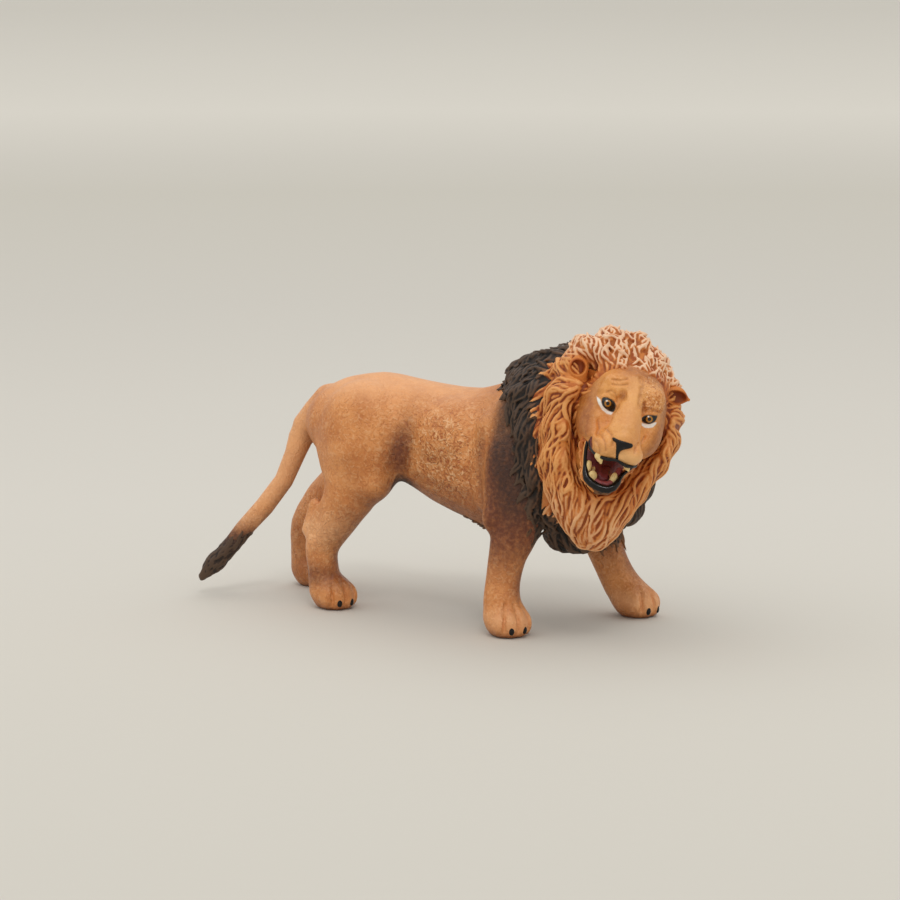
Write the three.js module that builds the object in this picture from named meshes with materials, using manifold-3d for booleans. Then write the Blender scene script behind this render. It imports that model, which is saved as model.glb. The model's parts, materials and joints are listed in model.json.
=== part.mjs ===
// A moulded toy lion on four paws, its head turned to its right with the mouth open.
// Millimetres, +Z up. The lion walks towards +X and its left side is +Y.
// The origin lies on the ground, under the middle of the outer size.

import * as THREE from "three";
import { mergeVertices } from "three/addons/utils/BufferGeometryUtils.js";
import Module from "manifold-3d";

const wasm = await Module();
wasm.setup();

// Clearance that each glued joint leaves all round
const seamGap = 0.3;

// Faceting, in counts
const ringSides = 18;
const ruffSides = 27;
const limbSides = 12;
const smallSides = 8;
const lockSides = 5;

// Trunk: the rump is behind the trunk's reference line, the chest in front of it
const rumpPlace = -27.5;
const trunkLength = 60;
const trunkWidth = 22.4;
const backHeight = 43.5;
const trunkDepth = 20.6;

// Neck, which runs from the shoulders to a plug in the back of the skull
const neckWidth = 19;
const neckPlace = 20;
const neckHeight = 36;
const neckPlugDepth = 3.2;

// Legs: height of the upper end, and the fore and aft depth and the width of the upper leg
const forelegHeight = 37;
const forelegDepth = 15.4;
const forelegWidth = 9.4;
const hindlegHeight = 36.5;
const hindlegDepth = 17;
const hindlegWidth = 9.4;

// Where each paw stands, from the trunk's reference line and from the middle plane
const rightForepawPlace = 23.4;
const rightForepawAside = 15.4;
const leftForepawPlace = 36.4;
const leftForepawAside = 12.2;
const rightHindpawPlace = -17.6;
const rightHindpawAside = 7.6;
const leftHindpawPlace = -32.4;
const leftHindpawAside = 10.6;

// Paws
const pawLength = 8;
const pawWidth = 7.4;
const pawHeight = 6;
const toeWidth = 3;
const toeLength = 3.9;
const toeHeight = 5.2;
const toeMiddleHeight = 2.3;

// Which way each paw points, in degrees to the left of straight ahead
const rightForepawTurn = -34;
const leftForepawTurn = -14;
const rightHindpawTurn = -26;
const leftHindpawTurn = -8;

// Pegs that carry the legs, the tail and the jaw
const legPegRadius = 2;
const tailPegRadius = 1.4;
const jawPegRadius = 1;

// Tail and its tuft
const tailRootPlace = -24;
const tailRootHeight = 36.2;
const tailDrop = 33;
const tailReach = 25;
const tailSweep = 8.5;
const tailThickness = 7;
const tuftThickness = 4.6;

// Head: its middle, its turn in degrees, and its sizes in its own frame
const headPlace = 45.2;
const headAside = 15;
const headHeightAtMiddle = 40.9;
const headYaw = -56.7;
const headPitch = 4.9;
const headRoll = -19.1;
const skullLength = 18;
const skullWidth = 17.4;
const skullHeight = 18.4;
const muzzleBase = 4.6;
const muzzleLength = 10.6;
const muzzleWidth = 10.4;
const muzzleHeight = 7.2;
const muzzleDrop = 3.3;

// Mouth
const mouthWidth = 7.6;
const mouthHeight = 6.4;
const mouthDepth = 12;
const jawBase = -0.6;
const jawLength = 10.6;
const jawWidth = 8.8;
const jawThickness = 3.2;
const jawDrop = 11.7;
const jawHingeDrop = 8.4;
const tongueWidth = 4.6;
const tongueThickness = 1.2;
const gumThickness = 1.1;
const canineLength = 2.4;
const canineRadius = 0.62;

// Eyes, nose pad and ears
const eyeRadius = 1.55;
const eyeSpacing = 8.4;
const eyeRise = 2;
const eyeForward = 7.3;
const nosePadWidth = 4.4;
const nosePadHeight = 2.6;
const nosePadDepth = 1.6;
const earSpacing = 18;
const earRise = 7.6;
const earForward = 0.9;
const earWidth = 4.9;
const earThickness = 2.6;
const earHollow = 1;
const earStemRadius = 1.5;

// Front mane: a ruff round the face, hanging a little straighter than the head is tilted
const ruffWidth = 25;
const ruffHeight = 38.4;
const ruffDepth = 18.6;
const ruffDrop = 3.6;
const ruffAside = 0.2;
const ruffRoll = -9.4;
const faceWidth = 16.8;
const faceHeight = 24;

// Rear mane: a collar over the neck and the shoulders
const collarWidth = 37.6;
const collarAside = 1.8;
const collarHeight = 39.4;
const collarPlace = 15.6;
const collarLength = 26;
const collarMiddleHeight = 30.4;
const collarRise = 7;
const collarTurn = 8;

// Carved locks of both manes: how wide they are and how high they stand
const lockWidth = 4.2;
const lockHeight = 1.5;

// Tables. A trunk row is: place along, top, depth, width.
const trunkShares = [
  [0, 0.76, 0, 0],
  [0.03, 0.875, 0.34, 0.36],
  [0.085, 0.95, 0.64, 0.72],
  [0.16, 1, 0.88, 0.9],
  [0.27, 1.026, 0.96, 0.95],
  [0.38, 1.01, 0.97, 0.9],
  [0.49, 0.992, 1.1, 0.93],
  [0.62, 0.985, 1.22, 1.02],
  [0.73, 1.03, 1.41, 1.07],
  [0.83, 1.08, 1.42, 1.02],
  [0.92, 1.03, 1.2, 0.84],
  [0.98, 0.93, 0.76, 0.5],
  [1, 0.75, 0, 0],
];

// A muscle row is: place along, aside, height, half length, half width, half height.
const muscleShares = [
  [0.2, 0.2, 0.86, 0.3, 0.24, 0.2],
  [0.6, 0.17, 0.775, 0.6, 0.4, 0.4],
  [0.858, 0.384, 0.816, 0.364, 0.262, 0.461],
];

// A neck row is: share of the way to the skull, half width.
const neckShares = [
  [0, 0],
  [0.08, 0.98],
  [0.4, 0.88],
  [0.76, 0.77],
  [0.97, 0.71],
  [1, 0],
];

// A leg row is: forward of the paw, outward of the paw, height, half depth, half width.
const rightForelegShares = [
  [-0.02, -0.62, 1.08, 0, 0],
  [-0.02, -0.6, 1.02, 0.36, 0.26],
  [0, -0.5, 0.86, 0.48, 0.47],
  [0.02, -0.38, 0.68, 0.45, 0.52],
  [0.03, -0.26, 0.53, 0.33, 0.43],
  [-0.05, -0.17, 0.385, 0.235, 0.36],
  [-0.085, -0.09, 0.26, 0.215, 0.335],
  [-0.075, -0.02, 0.165, 0.235, 0.36],
  [-0.03, 0, 0.09, 0.26, 0.4],
  [-0.03, 0, 0.03, 0, 0],
];
const leftForelegShares = [
  [-0.82, -0.34, 1.06, 0, 0],
  [-0.8, -0.32, 1, 0.36, 0.26],
  [-0.74, -0.24, 0.84, 0.48, 0.47],
  [-0.64, -0.16, 0.66, 0.43, 0.52],
  [-0.52, -0.1, 0.49, 0.32, 0.43],
  [-0.42, -0.06, 0.355, 0.24, 0.37],
  [-0.31, -0.02, 0.245, 0.225, 0.34],
  [-0.19, 0, 0.155, 0.235, 0.37],
  [-0.06, 0, 0.09, 0.25, 0.4],
  [-0.02, 0, 0.03, 0, 0],
];
const rightHindlegShares = [
  [0.12, -0.26, 1.08, 0, 0],
  [0.13, -0.24, 1.02, 0.36, 0.24],
  [0.24, -0.04, 0.84, 0.43, 0.46],
  [0.288, 0.06, 0.67, 0.36, 0.52],
  [0.15, 0.08, 0.53, 0.268, 0.44],
  [-0.04, 0.06, 0.41, 0.245, 0.36],
  [-0.13, 0.05, 0.31, 0.2, 0.31],
  [-0.12, 0.03, 0.215, 0.18, 0.315],
  [-0.1, 0.01, 0.135, 0.195, 0.35],
  [-0.06, 0, 0.09, 0.23, 0.4],
  [-0.05, 0, 0.03, 0, 0],
];
const leftHindlegShares = [
  [0.88, -0.5, 1.05, 0, 0],
  [0.87, -0.48, 0.99, 0.36, 0.24],
  [0.82, -0.3, 0.81, 0.5, 0.46],
  [0.68, -0.2, 0.65, 0.4, 0.5],
  [0.37, -0.14, 0.53, 0.28, 0.42],
  [0.09, -0.1, 0.425, 0.235, 0.35],
  [-0.08, -0.07, 0.325, 0.195, 0.31],
  [-0.1, -0.04, 0.215, 0.18, 0.315],
  [-0.09, -0.02, 0.135, 0.195, 0.35],
  [-0.06, 0, 0.09, 0.23, 0.4],
  [-0.05, 0, 0.03, 0, 0],
];

// The thick of a leg: forward of the paw, outward, height, half depth, half width, half height.
const rightForelegBulgeShare = [-0.071, -0.298, 0.77, 0.299, 0.404, 0.216];
const leftForelegBulgeShare = [-0.643, -0.064, 0.77, 0.312, 0.426, 0.216];
const rightHindlegBulgeShare = [0.36, -0.074, 0.888, 0.46, 0.62, 0.29];
const leftHindlegBulgeShare = [0.935, -0.394, 0.877, 0.506, 0.638, 0.288];

// A toe row is: forward of the paw's middle, outward of it, size.
const toeShares = [
  [0.27, -0.35, 0.94],
  [0.35, -0.12, 1.04],
  [0.35, 0.12, 1.04],
  [0.27, 0.35, 0.94],
];

// A tail row is: share of the reach, of the drop, of the sweep, of half the thickness.
const tailShares = [
  [-0.1, -0.05, 0, 0],
  [-0.05, -0.02, 0, 0.96],
  [0.05, 0.03, 0, 1],
  [0.13, 0.087, 0, 0.88],
  [0.183, 0.16, 0.07, 0.7],
  [0.22, 0.253, 0.165, 0.57],
  [0.29, 0.41, 0.306, 0.51],
  [0.438, 0.567, 0.471, 0.51],
  [0.591, 0.707, 0.647, 0.5],
  [0.69, 0.8, 0.77, 0.44],
  [0.73, 0.84, 0.81, 0],
];
const tuftShares = [
  [0.6, 0.72, 0.66, 0],
  [0.625, 0.74, 0.69, 0.84],
  [0.69, 0.81, 0.78, 0.94],
  [0.79, 0.9, 0.89, 1],
  [0.88, 0.965, 0.98, 0.8],
  [0.94, 1.01, 1.05, 0],
];

// A skull or muzzle row is: place along, rise, half width, up, down.
const skullShares = [
  [-0.52, 0, 0, 0, 0],
  [-0.45, 0, 0.5, 0.4, 0.36],
  [-0.28, 0, 0.86, 0.78, 0.7],
  [-0.02, 0, 1, 1, 0.9],
  [0.2, 0, 0.99, 1.02, 0.9],
  [0.34, -0.02, 0.86, 0.82, 0.78],
  [0.43, -0.04, 0.6, 0.52, 0.54],
  [0.47, -0.05, 0, 0, 0],
];
const muzzleShares = [
  [-0.2, 0.06, 0, 0, 0],
  [-0.1, 0.06, 1, 1, 0.8],
  [0.2, 0.04, 1.04, 1.02, 0.84],
  [0.5, 0, 0.96, 0.86, 0.84],
  [0.8, -0.04, 0.86, 0.7, 0.78],
  [0.94, -0.06, 0.64, 0.5, 0.58],
  [1, -0.06, 0, 0, 0],
];

// A jaw row is: place along, drop between hinge and chin, half width, up, down.
const jawShares = [
  [-0.1, -0.1, 0, 0, 0],
  [0, 0, 0.86, 0.5, 0.6],
  [0.3, 0.36, 1, 0.44, 0.6],
  [0.62, 0.74, 0.92, 0.46, 0.62],
  [0.88, 1, 0.7, 0.5, 0.6],
  [1, 1.08, 0, 0, 0],
];

// A tongue row is: share of the jaw's length, half width, half thickness.
const tongueShares = [
  [0.2, 0, 0],
  [0.26, 0.8, 0.9],
  [0.5, 1, 1],
  [0.74, 0.9, 0.9],
  [0.86, 0, 0],
];

// The gums run round the front of the mouth from its right corner to its left.
const gumShares = [-1, -0.94, -0.6, 0, 0.6, 0.94, 1];

// A tooth row is: place along the gum, share of a canine's length.
const upperToothShares = [
  [-0.78, 1],
  [-0.42, 0.3],
  [-0.14, 0.3],
  [0.14, 0.3],
  [0.42, 0.3],
  [0.78, 1],
];
const lowerToothShares = [
  [-0.86, 0.7],
  [-0.6, 0.8],
  [-0.3, 0.35],
  [0, 0.35],
  [0.3, 0.35],
  [0.6, 0.8],
  [0.86, 0.7],
];

// A row of the opening in the ruff is: share of the ruff's depth, size.
const faceWindowShares = [
  [-0.02, 0],
  [0, 0.86],
  [0.2, 0.96],
  [0.8, 1],
  [0.84, 0],
];

// The ruff's outline from the front: side and up, round from the lion's left. Then its rows, from
// back to front: place along, rise, size.
const ruffOutlineShares = [
  [0.94, 0.08],
  [0.91, 0.36],
  [0.71, 0.67],
  [0.41, 0.89],
  [0, 1],
  [-0.44, 0.93],
  [-0.78, 0.74],
  [-0.95, 0.42],
  [-0.95, 0.06],
  [-0.88, -0.3],
  [-0.7, -0.6],
  [-0.42, -0.86],
  [-0.06, -1],
  [0.26, -0.9],
  [0.49, -0.64],
  [0.75, -0.28],
];
const ruffShares = [
  [-0.8, 0.02, 0],
  [-0.76, 0.02, 0.6],
  [-0.6, 0.02, 0.88],
  [-0.4, 0, 0.99],
  [-0.2, 0, 1.01],
  [-0.02, -0.01, 0.96],
  [0.11, -0.02, 0.86],
  [0.19, -0.02, 0.7],
  [0.21, -0.02, 0],
];

// The collar's rows run forward: along, turn to the right, rise, width, up, down.
const collarShares = [
  [-0.1, 0, 0, 0, 0, 0],
  [-0.02, 0, 0, 0.54, 0.6, 0.54],
  [0.16, 0, 0.08, 0.78, 0.76, 0.78],
  [0.36, 0.1, 0.3, 0.97, 0.86, 0.95],
  [0.56, 0.42, 0.56, 0.92, 0.88, 0.98],
  [0.76, 0.84, 0.8, 0.74, 0.87, 0.88],
  [0.94, 1.04, 0.94, 0.5, 0.66, 0.6],
  [1, 1, 1, 0, 0, 0],
];

// The rear edge of the collar, from the crest down: place along the collar, height over the ground
// as a share of the collar's height. Everything behind it is skin.
const collarEdgeShares = [
  [-0.6, 1.4],
  [-0.1, 1.19],
  [0.33, 0.985],
  [0.48, 0.5],
  [0.48, -0.1],
  [-0.6, -0.1],
];

// A row of a lock is: place along it, half width, height.
const lockShares = [
  [0, 0, 0],
  [0.14, 0.62, 0.5],
  [0.46, 1, 0.9],
  [0.8, 0.66, 1],
  [1, 0, 0.9],
];

// A ring of locks is: where they start and end along the loft, how many, turn of the first,
// how far they sweep down on the way.
const ruffLockShares = [
  [0.93, 0.66, 15, 0.1, 0.03],
  [0.74, 0.44, 20, 0.5, 0.045],
  [0.55, 0.24, 18, 0, 0.05],
];
const collarLockShares = [
  [0.84, 0.5, 14, 0, 0.085],
  [0.66, 0.32, 16, 0.5, 0.085],
  [0.48, 0.14, 16, 0, 0.08],
];

// Finishes: colour and roughness of each kind of paint
const tan = { color: 0xc98550, roughness: 0.5 };
const umber = { color: 0x3b2a20, roughness: 0.68 };
const gold = { color: 0xb4682e, roughness: 0.62 };
const paleGold = { color: 0xcc8f55, roughness: 0.52 };
const ivory = { color: 0xe9dfc2, roughness: 0.32 };
const black = { color: 0x15110f, roughness: 0.16 };
const amber = { color: 0xb9822a, roughness: 0.08 };
const rose = { color: 0xa2454a, roughness: 0.28 };

// The two sides of the lion, along +Y
const sides = { right: -1, left: 1 };

// Turns a BufferGeometry whose faces point outwards into a solid.
function solidFrom(geometry) {
  const bare = geometry.clone();
  bare.deleteAttribute("normal");
  bare.deleteAttribute("uv");
  const merged = mergeVertices(bare);
  return new wasm.Manifold(
    new wasm.Mesh({
      numProp: 3,
      vertProperties: new Float32Array(merged.attributes.position.array),
      triVerts: new Uint32Array(merged.index.array),
    }),
  );
}

// Points of a circle of radius one.
function circleOutline(count) {
  const points = [];
  for (let k = 0; k < count; k += 1) {
    const angle = (k / count) * Math.PI * 2;
    points.push(new THREE.Vector3(Math.cos(angle), Math.sin(angle), 0));
  }
  return points;
}

// Points of a smooth closed outline through rows of side and up.
function smoothOutline(count, shares) {
  const corners = shares.map(([side, up]) => new THREE.Vector3(side, up, 0));
  const curve = new THREE.CatmullRomCurve3(corners, true);
  const points = [];
  for (let k = 0; k < count; k += 1) {
    points.push(curve.getPoint(k / count));
  }
  return points;
}

// A closed body through rings round a smooth line. Each key holds the ring's middle and its half
// sizes to the side, up and down. The first and the last key are the tips. The rings stand square
// to the line, or all face one way.
function loft(keys, { sideways, outline, facing, steps = 2, grow = 0 }) {
  const ringAt = ringsThrough(keys, { sideways, facing });
  const count = (keys.length - 1) * steps;
  const points = [];
  for (let i = 0; i <= count; i += 1) {
    const ring = ringAt(i / count);
    if (i === 0 || i === count) {
      points.push(ring.middle.addScaledVector(ring.along, i === 0 ? -grow : grow));
      continue;
    }
    for (const unit of outline) {
      points.push(pointOnRing(ring, unit, grow));
    }
  }
  return solidFrom(skin(points, outline.length, count - 1));
}

// The ring at each share of the way along a smooth line through keys.
function ringsThrough(keys, { sideways, facing }) {
  const path = new THREE.CatmullRomCurve3(keys.map((key) => key.at));
  const sizes = new THREE.CatmullRomCurve3(
    keys.map((key) => new THREE.Vector3(key.side, key.up, key.down)),
  );
  return (t) => {
    const along = facing ? facing.clone() : path.getTangent(t);
    const side = sideways.clone().addScaledVector(along, -sideways.dot(along)).normalize();
    const up = new THREE.Vector3().crossVectors(along, side);
    return { middle: path.getPoint(t), along, side, up, size: sizes.getPoint(t) };
  };
}

// A point on a ring, in the direction of a point of its outline.
function pointOnRing({ middle, side, up, size }, unit, grow = 0) {
  const rise = unit.y > 0 ? size.y : size.z;
  return middle
    .clone()
    .addScaledVector(side, unit.x * (Math.max(size.x, 0) + grow))
    .addScaledVector(up, unit.y * (Math.max(rise, 0) + grow));
}

// The faces over the rings that loft lays out, with a fan at each tip.
function skin(points, around, rings) {
  const faces = [];
  const last = points.length - 1;
  const spot = (ring, k) => 1 + ring * around + (k % around);
  for (let k = 0; k < around; k += 1) {
    faces.push(0, spot(0, k + 1), spot(0, k));
    faces.push(last, spot(rings - 1, k), spot(rings - 1, k + 1));
    for (let ring = 0; ring < rings - 1; ring += 1) {
      faces.push(spot(ring, k), spot(ring, k + 1), spot(ring + 1, k + 1));
      faces.push(spot(ring, k), spot(ring + 1, k + 1), spot(ring + 1, k));
    }
  }
  const geometry = new THREE.BufferGeometry().setFromPoints(points);
  geometry.setIndex(faces);
  return geometry;
}

// An ellipsoid given by its middle and its three half sizes.
function ball(at, halfLength, halfWidth, halfHeight, around = smallSides) {
  const geometry = new THREE.SphereGeometry(1, around, Math.ceil(around / 2) + 1);
  geometry.rotateX(Math.PI / 2);
  geometry.scale(halfLength, halfWidth, halfHeight);
  geometry.translate(at.x, at.y, at.z);
  return solidFrom(geometry);
}

// A round rod between two points, or a cone where the end radius is smaller.
function rod(from, to, radius, endRadius = radius, around = limbSides) {
  const along = new THREE.Vector3().subVectors(to, from);
  const geometry = new THREE.CylinderGeometry(endRadius, radius, along.length(), around);
  const turn = new THREE.Quaternion().setFromUnitVectors(
    new THREE.Vector3(0, 1, 0),
    along.clone().normalize(),
  );
  geometry.applyQuaternion(turn);
  const middle = new THREE.Vector3().addVectors(from, to).multiplyScalar(0.5);
  geometry.translate(middle.x, middle.y, middle.z);
  return solidFrom(geometry);
}

// The hole that a rod sits in: wider all round and deeper by the seam gap.
function socket(from, to, radius) {
  const along = new THREE.Vector3().subVectors(to, from).normalize();
  return rod(
    from.clone().addScaledVector(along, -seamGap),
    to.clone().addScaledVector(along, seamGap),
    radius + seamGap,
  );
}

// The largest body that a cut leaves.
function largest(solid) {
  return solid.decompose().reduce((best, body) => (body.volume() > best.volume() ? body : best));
}

const roundOutline = circleOutline(ringSides);
const limbOutline = circleOutline(limbSides);
const smallOutline = circleOutline(smallSides);
const lockOutline = circleOutline(lockSides);
const ruffOutline = smoothOutline(ruffSides, ruffOutlineShares);
const left = new THREE.Vector3(0, 1, 0);
const ahead = new THREE.Vector3(1, 0, 0);

// Head frame: x runs forward out of the face, y to the lion's left and z up through the crown.
const toRadians = THREE.MathUtils.degToRad;
function headFrame(roll) {
  const turn = new THREE.Euler(toRadians(roll), toRadians(-headPitch), toRadians(headYaw), "ZYX");
  return new THREE.Matrix4()
    .makeRotationFromEuler(turn)
    .setPosition(headPlace, -headAside, headHeightAtMiddle);
}
const tilted = headFrame(headRoll);
const hanging = headFrame(ruffRoll);
const inHead = (solid) => solid.transform(tilted.elements);
const inRuff = (solid) => solid.transform(hanging.elements);
const headPoint = (x, y, z) => new THREE.Vector3(x, y, z).applyMatrix4(tilted);

function trunkBody(grow = 0) {
  const keys = trunkShares.map(([along, top, depth, width]) => {
    const half = (depth * trunkDepth) / 2;
    const middle = top * backHeight - half;
    const at = new THREE.Vector3(rumpPlace + along * trunkLength, 0, middle);
    return { at, side: (width * trunkWidth) / 2, up: half, down: half };
  });
  return loft(keys, { sideways: left, facing: ahead, outline: roundOutline, grow });
}

function neckBody(grow = 0) {
  const half = neckWidth / 2;
  const from = new THREE.Vector3(neckPlace, 0, neckHeight);
  const to = headPoint(-skullLength / 2 + neckPlugDepth, 0, 0);
  const keys = neckShares.map(([along, width]) => {
    const at = from.clone().lerp(to, along);
    return { at, side: width * half, up: width * half, down: width * half };
  });
  return loft(keys, { sideways: left, outline: limbOutline, grow });
}

// Hips, ribs and shoulder blades.
function trunkMuscles(grow = 0) {
  const muscles = [];
  for (const side of Object.values(sides)) {
    for (const [along, aside, height, ...halves] of muscleShares) {
      const at = new THREE.Vector3(
        rumpPlace + along * trunkLength,
        side * aside * trunkWidth,
        height * backHeight,
      );
      const [halfLength, halfWidth, halfHeight] = halves.map((half) => half * trunkDepth + grow);
      muscles.push(ball(at, halfLength, halfWidth, halfHeight, ringSides));
    }
  }
  return muscles;
}

function torsoBody(grow = 0) {
  const bodies = [trunkBody(grow), neckBody(grow), ...trunkMuscles(grow)];
  return bodies.reduce((whole, body) => whole.add(body));
}

// One leg: rows from the upper end down to the paw, its thick part, the paw and its four toes.
function legBody({ shares, bulge, place, aside, height, depth, width, side, turn }, grow = 0) {
  const keys = shares.map(([forward, outward, up, halfDepth, halfWidth]) => ({
    at: new THREE.Vector3(
      place + forward * depth,
      side * (aside + outward * width),
      up * height,
    ),
    side: halfWidth * width,
    up: halfDepth * depth,
    down: halfDepth * depth,
  }));
  let solid = loft(keys, { sideways: left, outline: limbOutline, grow });
  const heel = new THREE.Vector3(place, side * aside, pawHeight * 0.4);
  solid = solid.add(
    ball(
      heel,
      pawLength * 0.47 + grow,
      pawWidth * 0.47 + grow,
      pawHeight * 0.54 + grow,
      limbSides,
    ),
  );
  const [forward, outward, up, halfDepth, halfWidth, halfHeight] = bulge;
  const thick = new THREE.Vector3(
    place + forward * depth,
    side * (aside + outward * width),
    up * height,
  );
  solid = solid.add(
    ball(
      thick,
      halfDepth * depth + grow,
      halfWidth * width + grow,
      halfHeight * height + grow,
      limbSides,
    ),
  );
  for (const [toeForward, toeOutward, size] of toeShares) {
    const toe = new THREE.Vector3(toeForward * pawLength, toeOutward * pawWidth, toeMiddleHeight);
    const halves = [toeLength, toeWidth, toeHeight].map((whole) => (size * whole) / 2 + grow);
    solid = solid.add(
      ball(toe, ...halves)
        .rotate([0, 0, turn])
        .translate([place, side * aside, 0]),
    );
  }
  return solid;
}

const legs = {
  right_foreleg: {
    shares: rightForelegShares,
    bulge: rightForelegBulgeShare,
    turn: rightForepawTurn,
    place: rightForepawPlace,
    aside: rightForepawAside,
    height: forelegHeight,
    depth: forelegDepth,
    width: forelegWidth,
    side: -1,
    pegShare: 0.66,
  },
  left_foreleg: {
    shares: leftForelegShares,
    bulge: leftForelegBulgeShare,
    turn: leftForepawTurn,
    place: leftForepawPlace,
    aside: leftForepawAside,
    height: forelegHeight,
    depth: forelegDepth,
    width: forelegWidth,
    side: 1,
    pegShare: 0.66,
  },
  right_hindleg: {
    shares: rightHindlegShares,
    bulge: rightHindlegBulgeShare,
    turn: rightHindpawTurn,
    place: rightHindpawPlace,
    aside: rightHindpawAside,
    height: hindlegHeight,
    depth: hindlegDepth,
    width: hindlegWidth,
    side: -1,
    pegShare: 0.72,
  },
  left_hindleg: {
    shares: leftHindlegShares,
    bulge: leftHindlegBulgeShare,
    turn: leftHindpawTurn,
    place: leftHindpawPlace,
    aside: leftHindpawAside,
    height: hindlegHeight,
    depth: hindlegDepth,
    width: hindlegWidth,
    side: 1,
    pegShare: 0.72,
  },
};

// The peg that runs from inside the upper leg to inside the trunk.
function legPeg({ shares, place, aside, height, depth, width, side, pegShare }) {
  const row = shares.reduce((best, next) =>
    Math.abs(next[2] - pegShare) < Math.abs(best[2] - pegShare) ? next : best,
  );
  const x = place + row[0] * depth;
  const z = row[2] * height;
  const outer = aside + row[1] * width + row[4] * width * 0.5;
  return [
    new THREE.Vector3(x, side * outer, z),
    new THREE.Vector3(x, side * (trunkWidth * 0.16), z + legPegRadius),
  ];
}

function tailKeys(shares, thickness) {
  return shares.map(([reach, drop, sweep, size]) => {
    const half = (size * thickness) / 2;
    const at = new THREE.Vector3(
      tailRootPlace - reach * tailReach,
      -sweep * tailSweep,
      tailRootHeight - drop * tailDrop,
    );
    return { at, side: half, up: half, down: half };
  });
}

function tailBody(grow = 0) {
  const keys = tailKeys(tailShares, tailThickness);
  return loft(keys, { sideways: left, outline: limbOutline, grow });
}

function tuftBody() {
  const keys = tailKeys(tuftShares, tuftThickness);
  return loft(keys, { sideways: left, outline: limbOutline });
}

function skullBody(grow = 0) {
  const keys = skullShares.map(([along, rise, width, up, down]) => ({
    at: new THREE.Vector3(along * skullLength, 0, rise * skullHeight),
    side: (width * skullWidth) / 2,
    up: (up * skullHeight) / 2,
    down: (down * skullHeight) / 2,
  }));
  return loft(keys, { sideways: left, facing: ahead, outline: roundOutline, grow });
}

function muzzleBody(grow = 0) {
  const keys = muzzleShares.map(([along, rise, width, up, down]) => ({
    at: new THREE.Vector3(
      muzzleBase + along * muzzleLength,
      0,
      rise * muzzleHeight - muzzleDrop,
    ),
    side: (width * muzzleWidth) / 2,
    up: (up * muzzleHeight) / 2,
    down: (down * muzzleHeight) / 2,
  }));
  return loft(keys, { sideways: left, facing: ahead, outline: limbOutline, grow });
}

// The roof of the open mouth, under the muzzle.
const palate = -muzzleDrop - muzzleHeight * 0.4;

// The open mouth, a hollow under the muzzle that runs back into the throat.
function mouthCut() {
  const middle = new THREE.Vector3(mouthDepth, 0, palate - mouthHeight / 2);
  return ball(middle, mouthDepth * 0.82, mouthWidth / 2, mouthHeight / 2, limbSides);
}

function headBody(grow = 0) {
  return inHead(skullBody(grow).add(muzzleBody(grow)).subtract(mouthCut()));
}

// A point on the jaw: a share of the way from the hinge to the chin, with a rise over its middle.
function jawPoint(along, drop, rise = 0) {
  return new THREE.Vector3(
    jawBase + along * jawLength,
    0,
    -jawHingeDrop - drop * (jawDrop - jawHingeDrop) + rise,
  );
}

function jawBody(grow = 0) {
  const keys = jawShares.map(([along, drop, width, up, down]) => ({
    at: jawPoint(along, drop),
    side: (width * jawWidth) / 2,
    up: up * jawThickness,
    down: down * jawThickness,
  }));
  return inHead(loft(keys, { sideways: left, outline: limbOutline, grow }));
}

function tongueBody(grow = 0) {
  const keys = tongueShares.map(([along, width, thick]) => ({
    at: jawPoint(along, along * 1.1, jawThickness * 0.5 + tongueThickness / 2),
    side: (width * tongueWidth) / 2,
    up: (thick * tongueThickness) / 2,
    down: (thick * tongueThickness) / 2,
  }));
  return inHead(loft(keys, { sideways: left, outline: smallOutline, grow }));
}

// A curved gum with a row of teeth. Rows run from the right corner round the front to the left.
function teethBody({ base, front, half, height, direction, teeth }) {
  const spot = (share) => {
    const forward = base + (front - base) * Math.sqrt(Math.max(0, 1 - share * share));
    return new THREE.Vector3(forward, share * half, height);
  };
  const keys = gumShares.map((share, index) => {
    const tip = index === 0 || index === gumShares.length - 1;
    const size = tip ? 0 : gumThickness / 2;
    return { at: spot(share), side: size, up: size, down: size };
  });
  const upright = new THREE.Vector3(0, 0, 1);
  let solid = loft(keys, { sideways: upright, outline: smallOutline });
  for (const [share, size] of teeth) {
    const root = spot(share);
    const reach = gumThickness / 2 + size * canineLength;
    const tip = root.clone().addScaledVector(upright, direction * reach);
    const thick = (canineRadius * (1 + size)) / 2;
    solid = solid.add(rod(root, tip, thick, thick * 0.3, smallSides - 2));
  }
  return inHead(solid);
}

const upperTeethRow = {
  base: muzzleBase + muzzleLength * 0.1,
  front: muzzleBase + muzzleLength * 0.76,
  half: mouthWidth * 0.42,
  height: palate - gumThickness / 2,
  direction: -1,
  teeth: upperToothShares,
};
const lowerTeethRow = {
  base: jawBase + jawLength * 0.36,
  front: jawBase + jawLength * 0.9,
  half: jawWidth * 0.34,
  height: -jawDrop + jawThickness * 0.5 + gumThickness / 2 + seamGap,
  direction: 1,
  teeth: lowerToothShares,
};

function eyeBall(side, grow = 0) {
  const at = new THREE.Vector3(eyeForward, (side * eyeSpacing) / 2, eyeRise);
  const radius = eyeRadius + grow;
  return inHead(ball(at, radius, radius, radius, limbSides));
}

function nosePad(grow = 0) {
  const at = new THREE.Vector3(
    muzzleBase + muzzleLength - nosePadDepth * 0.4,
    0,
    -muzzleDrop + muzzleHeight * 0.13,
  );
  const radii = [nosePadDepth, nosePadWidth / 2, nosePadHeight / 2].map((size) => size + grow);
  return inHead(ball(at, ...radii, limbSides));
}

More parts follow.
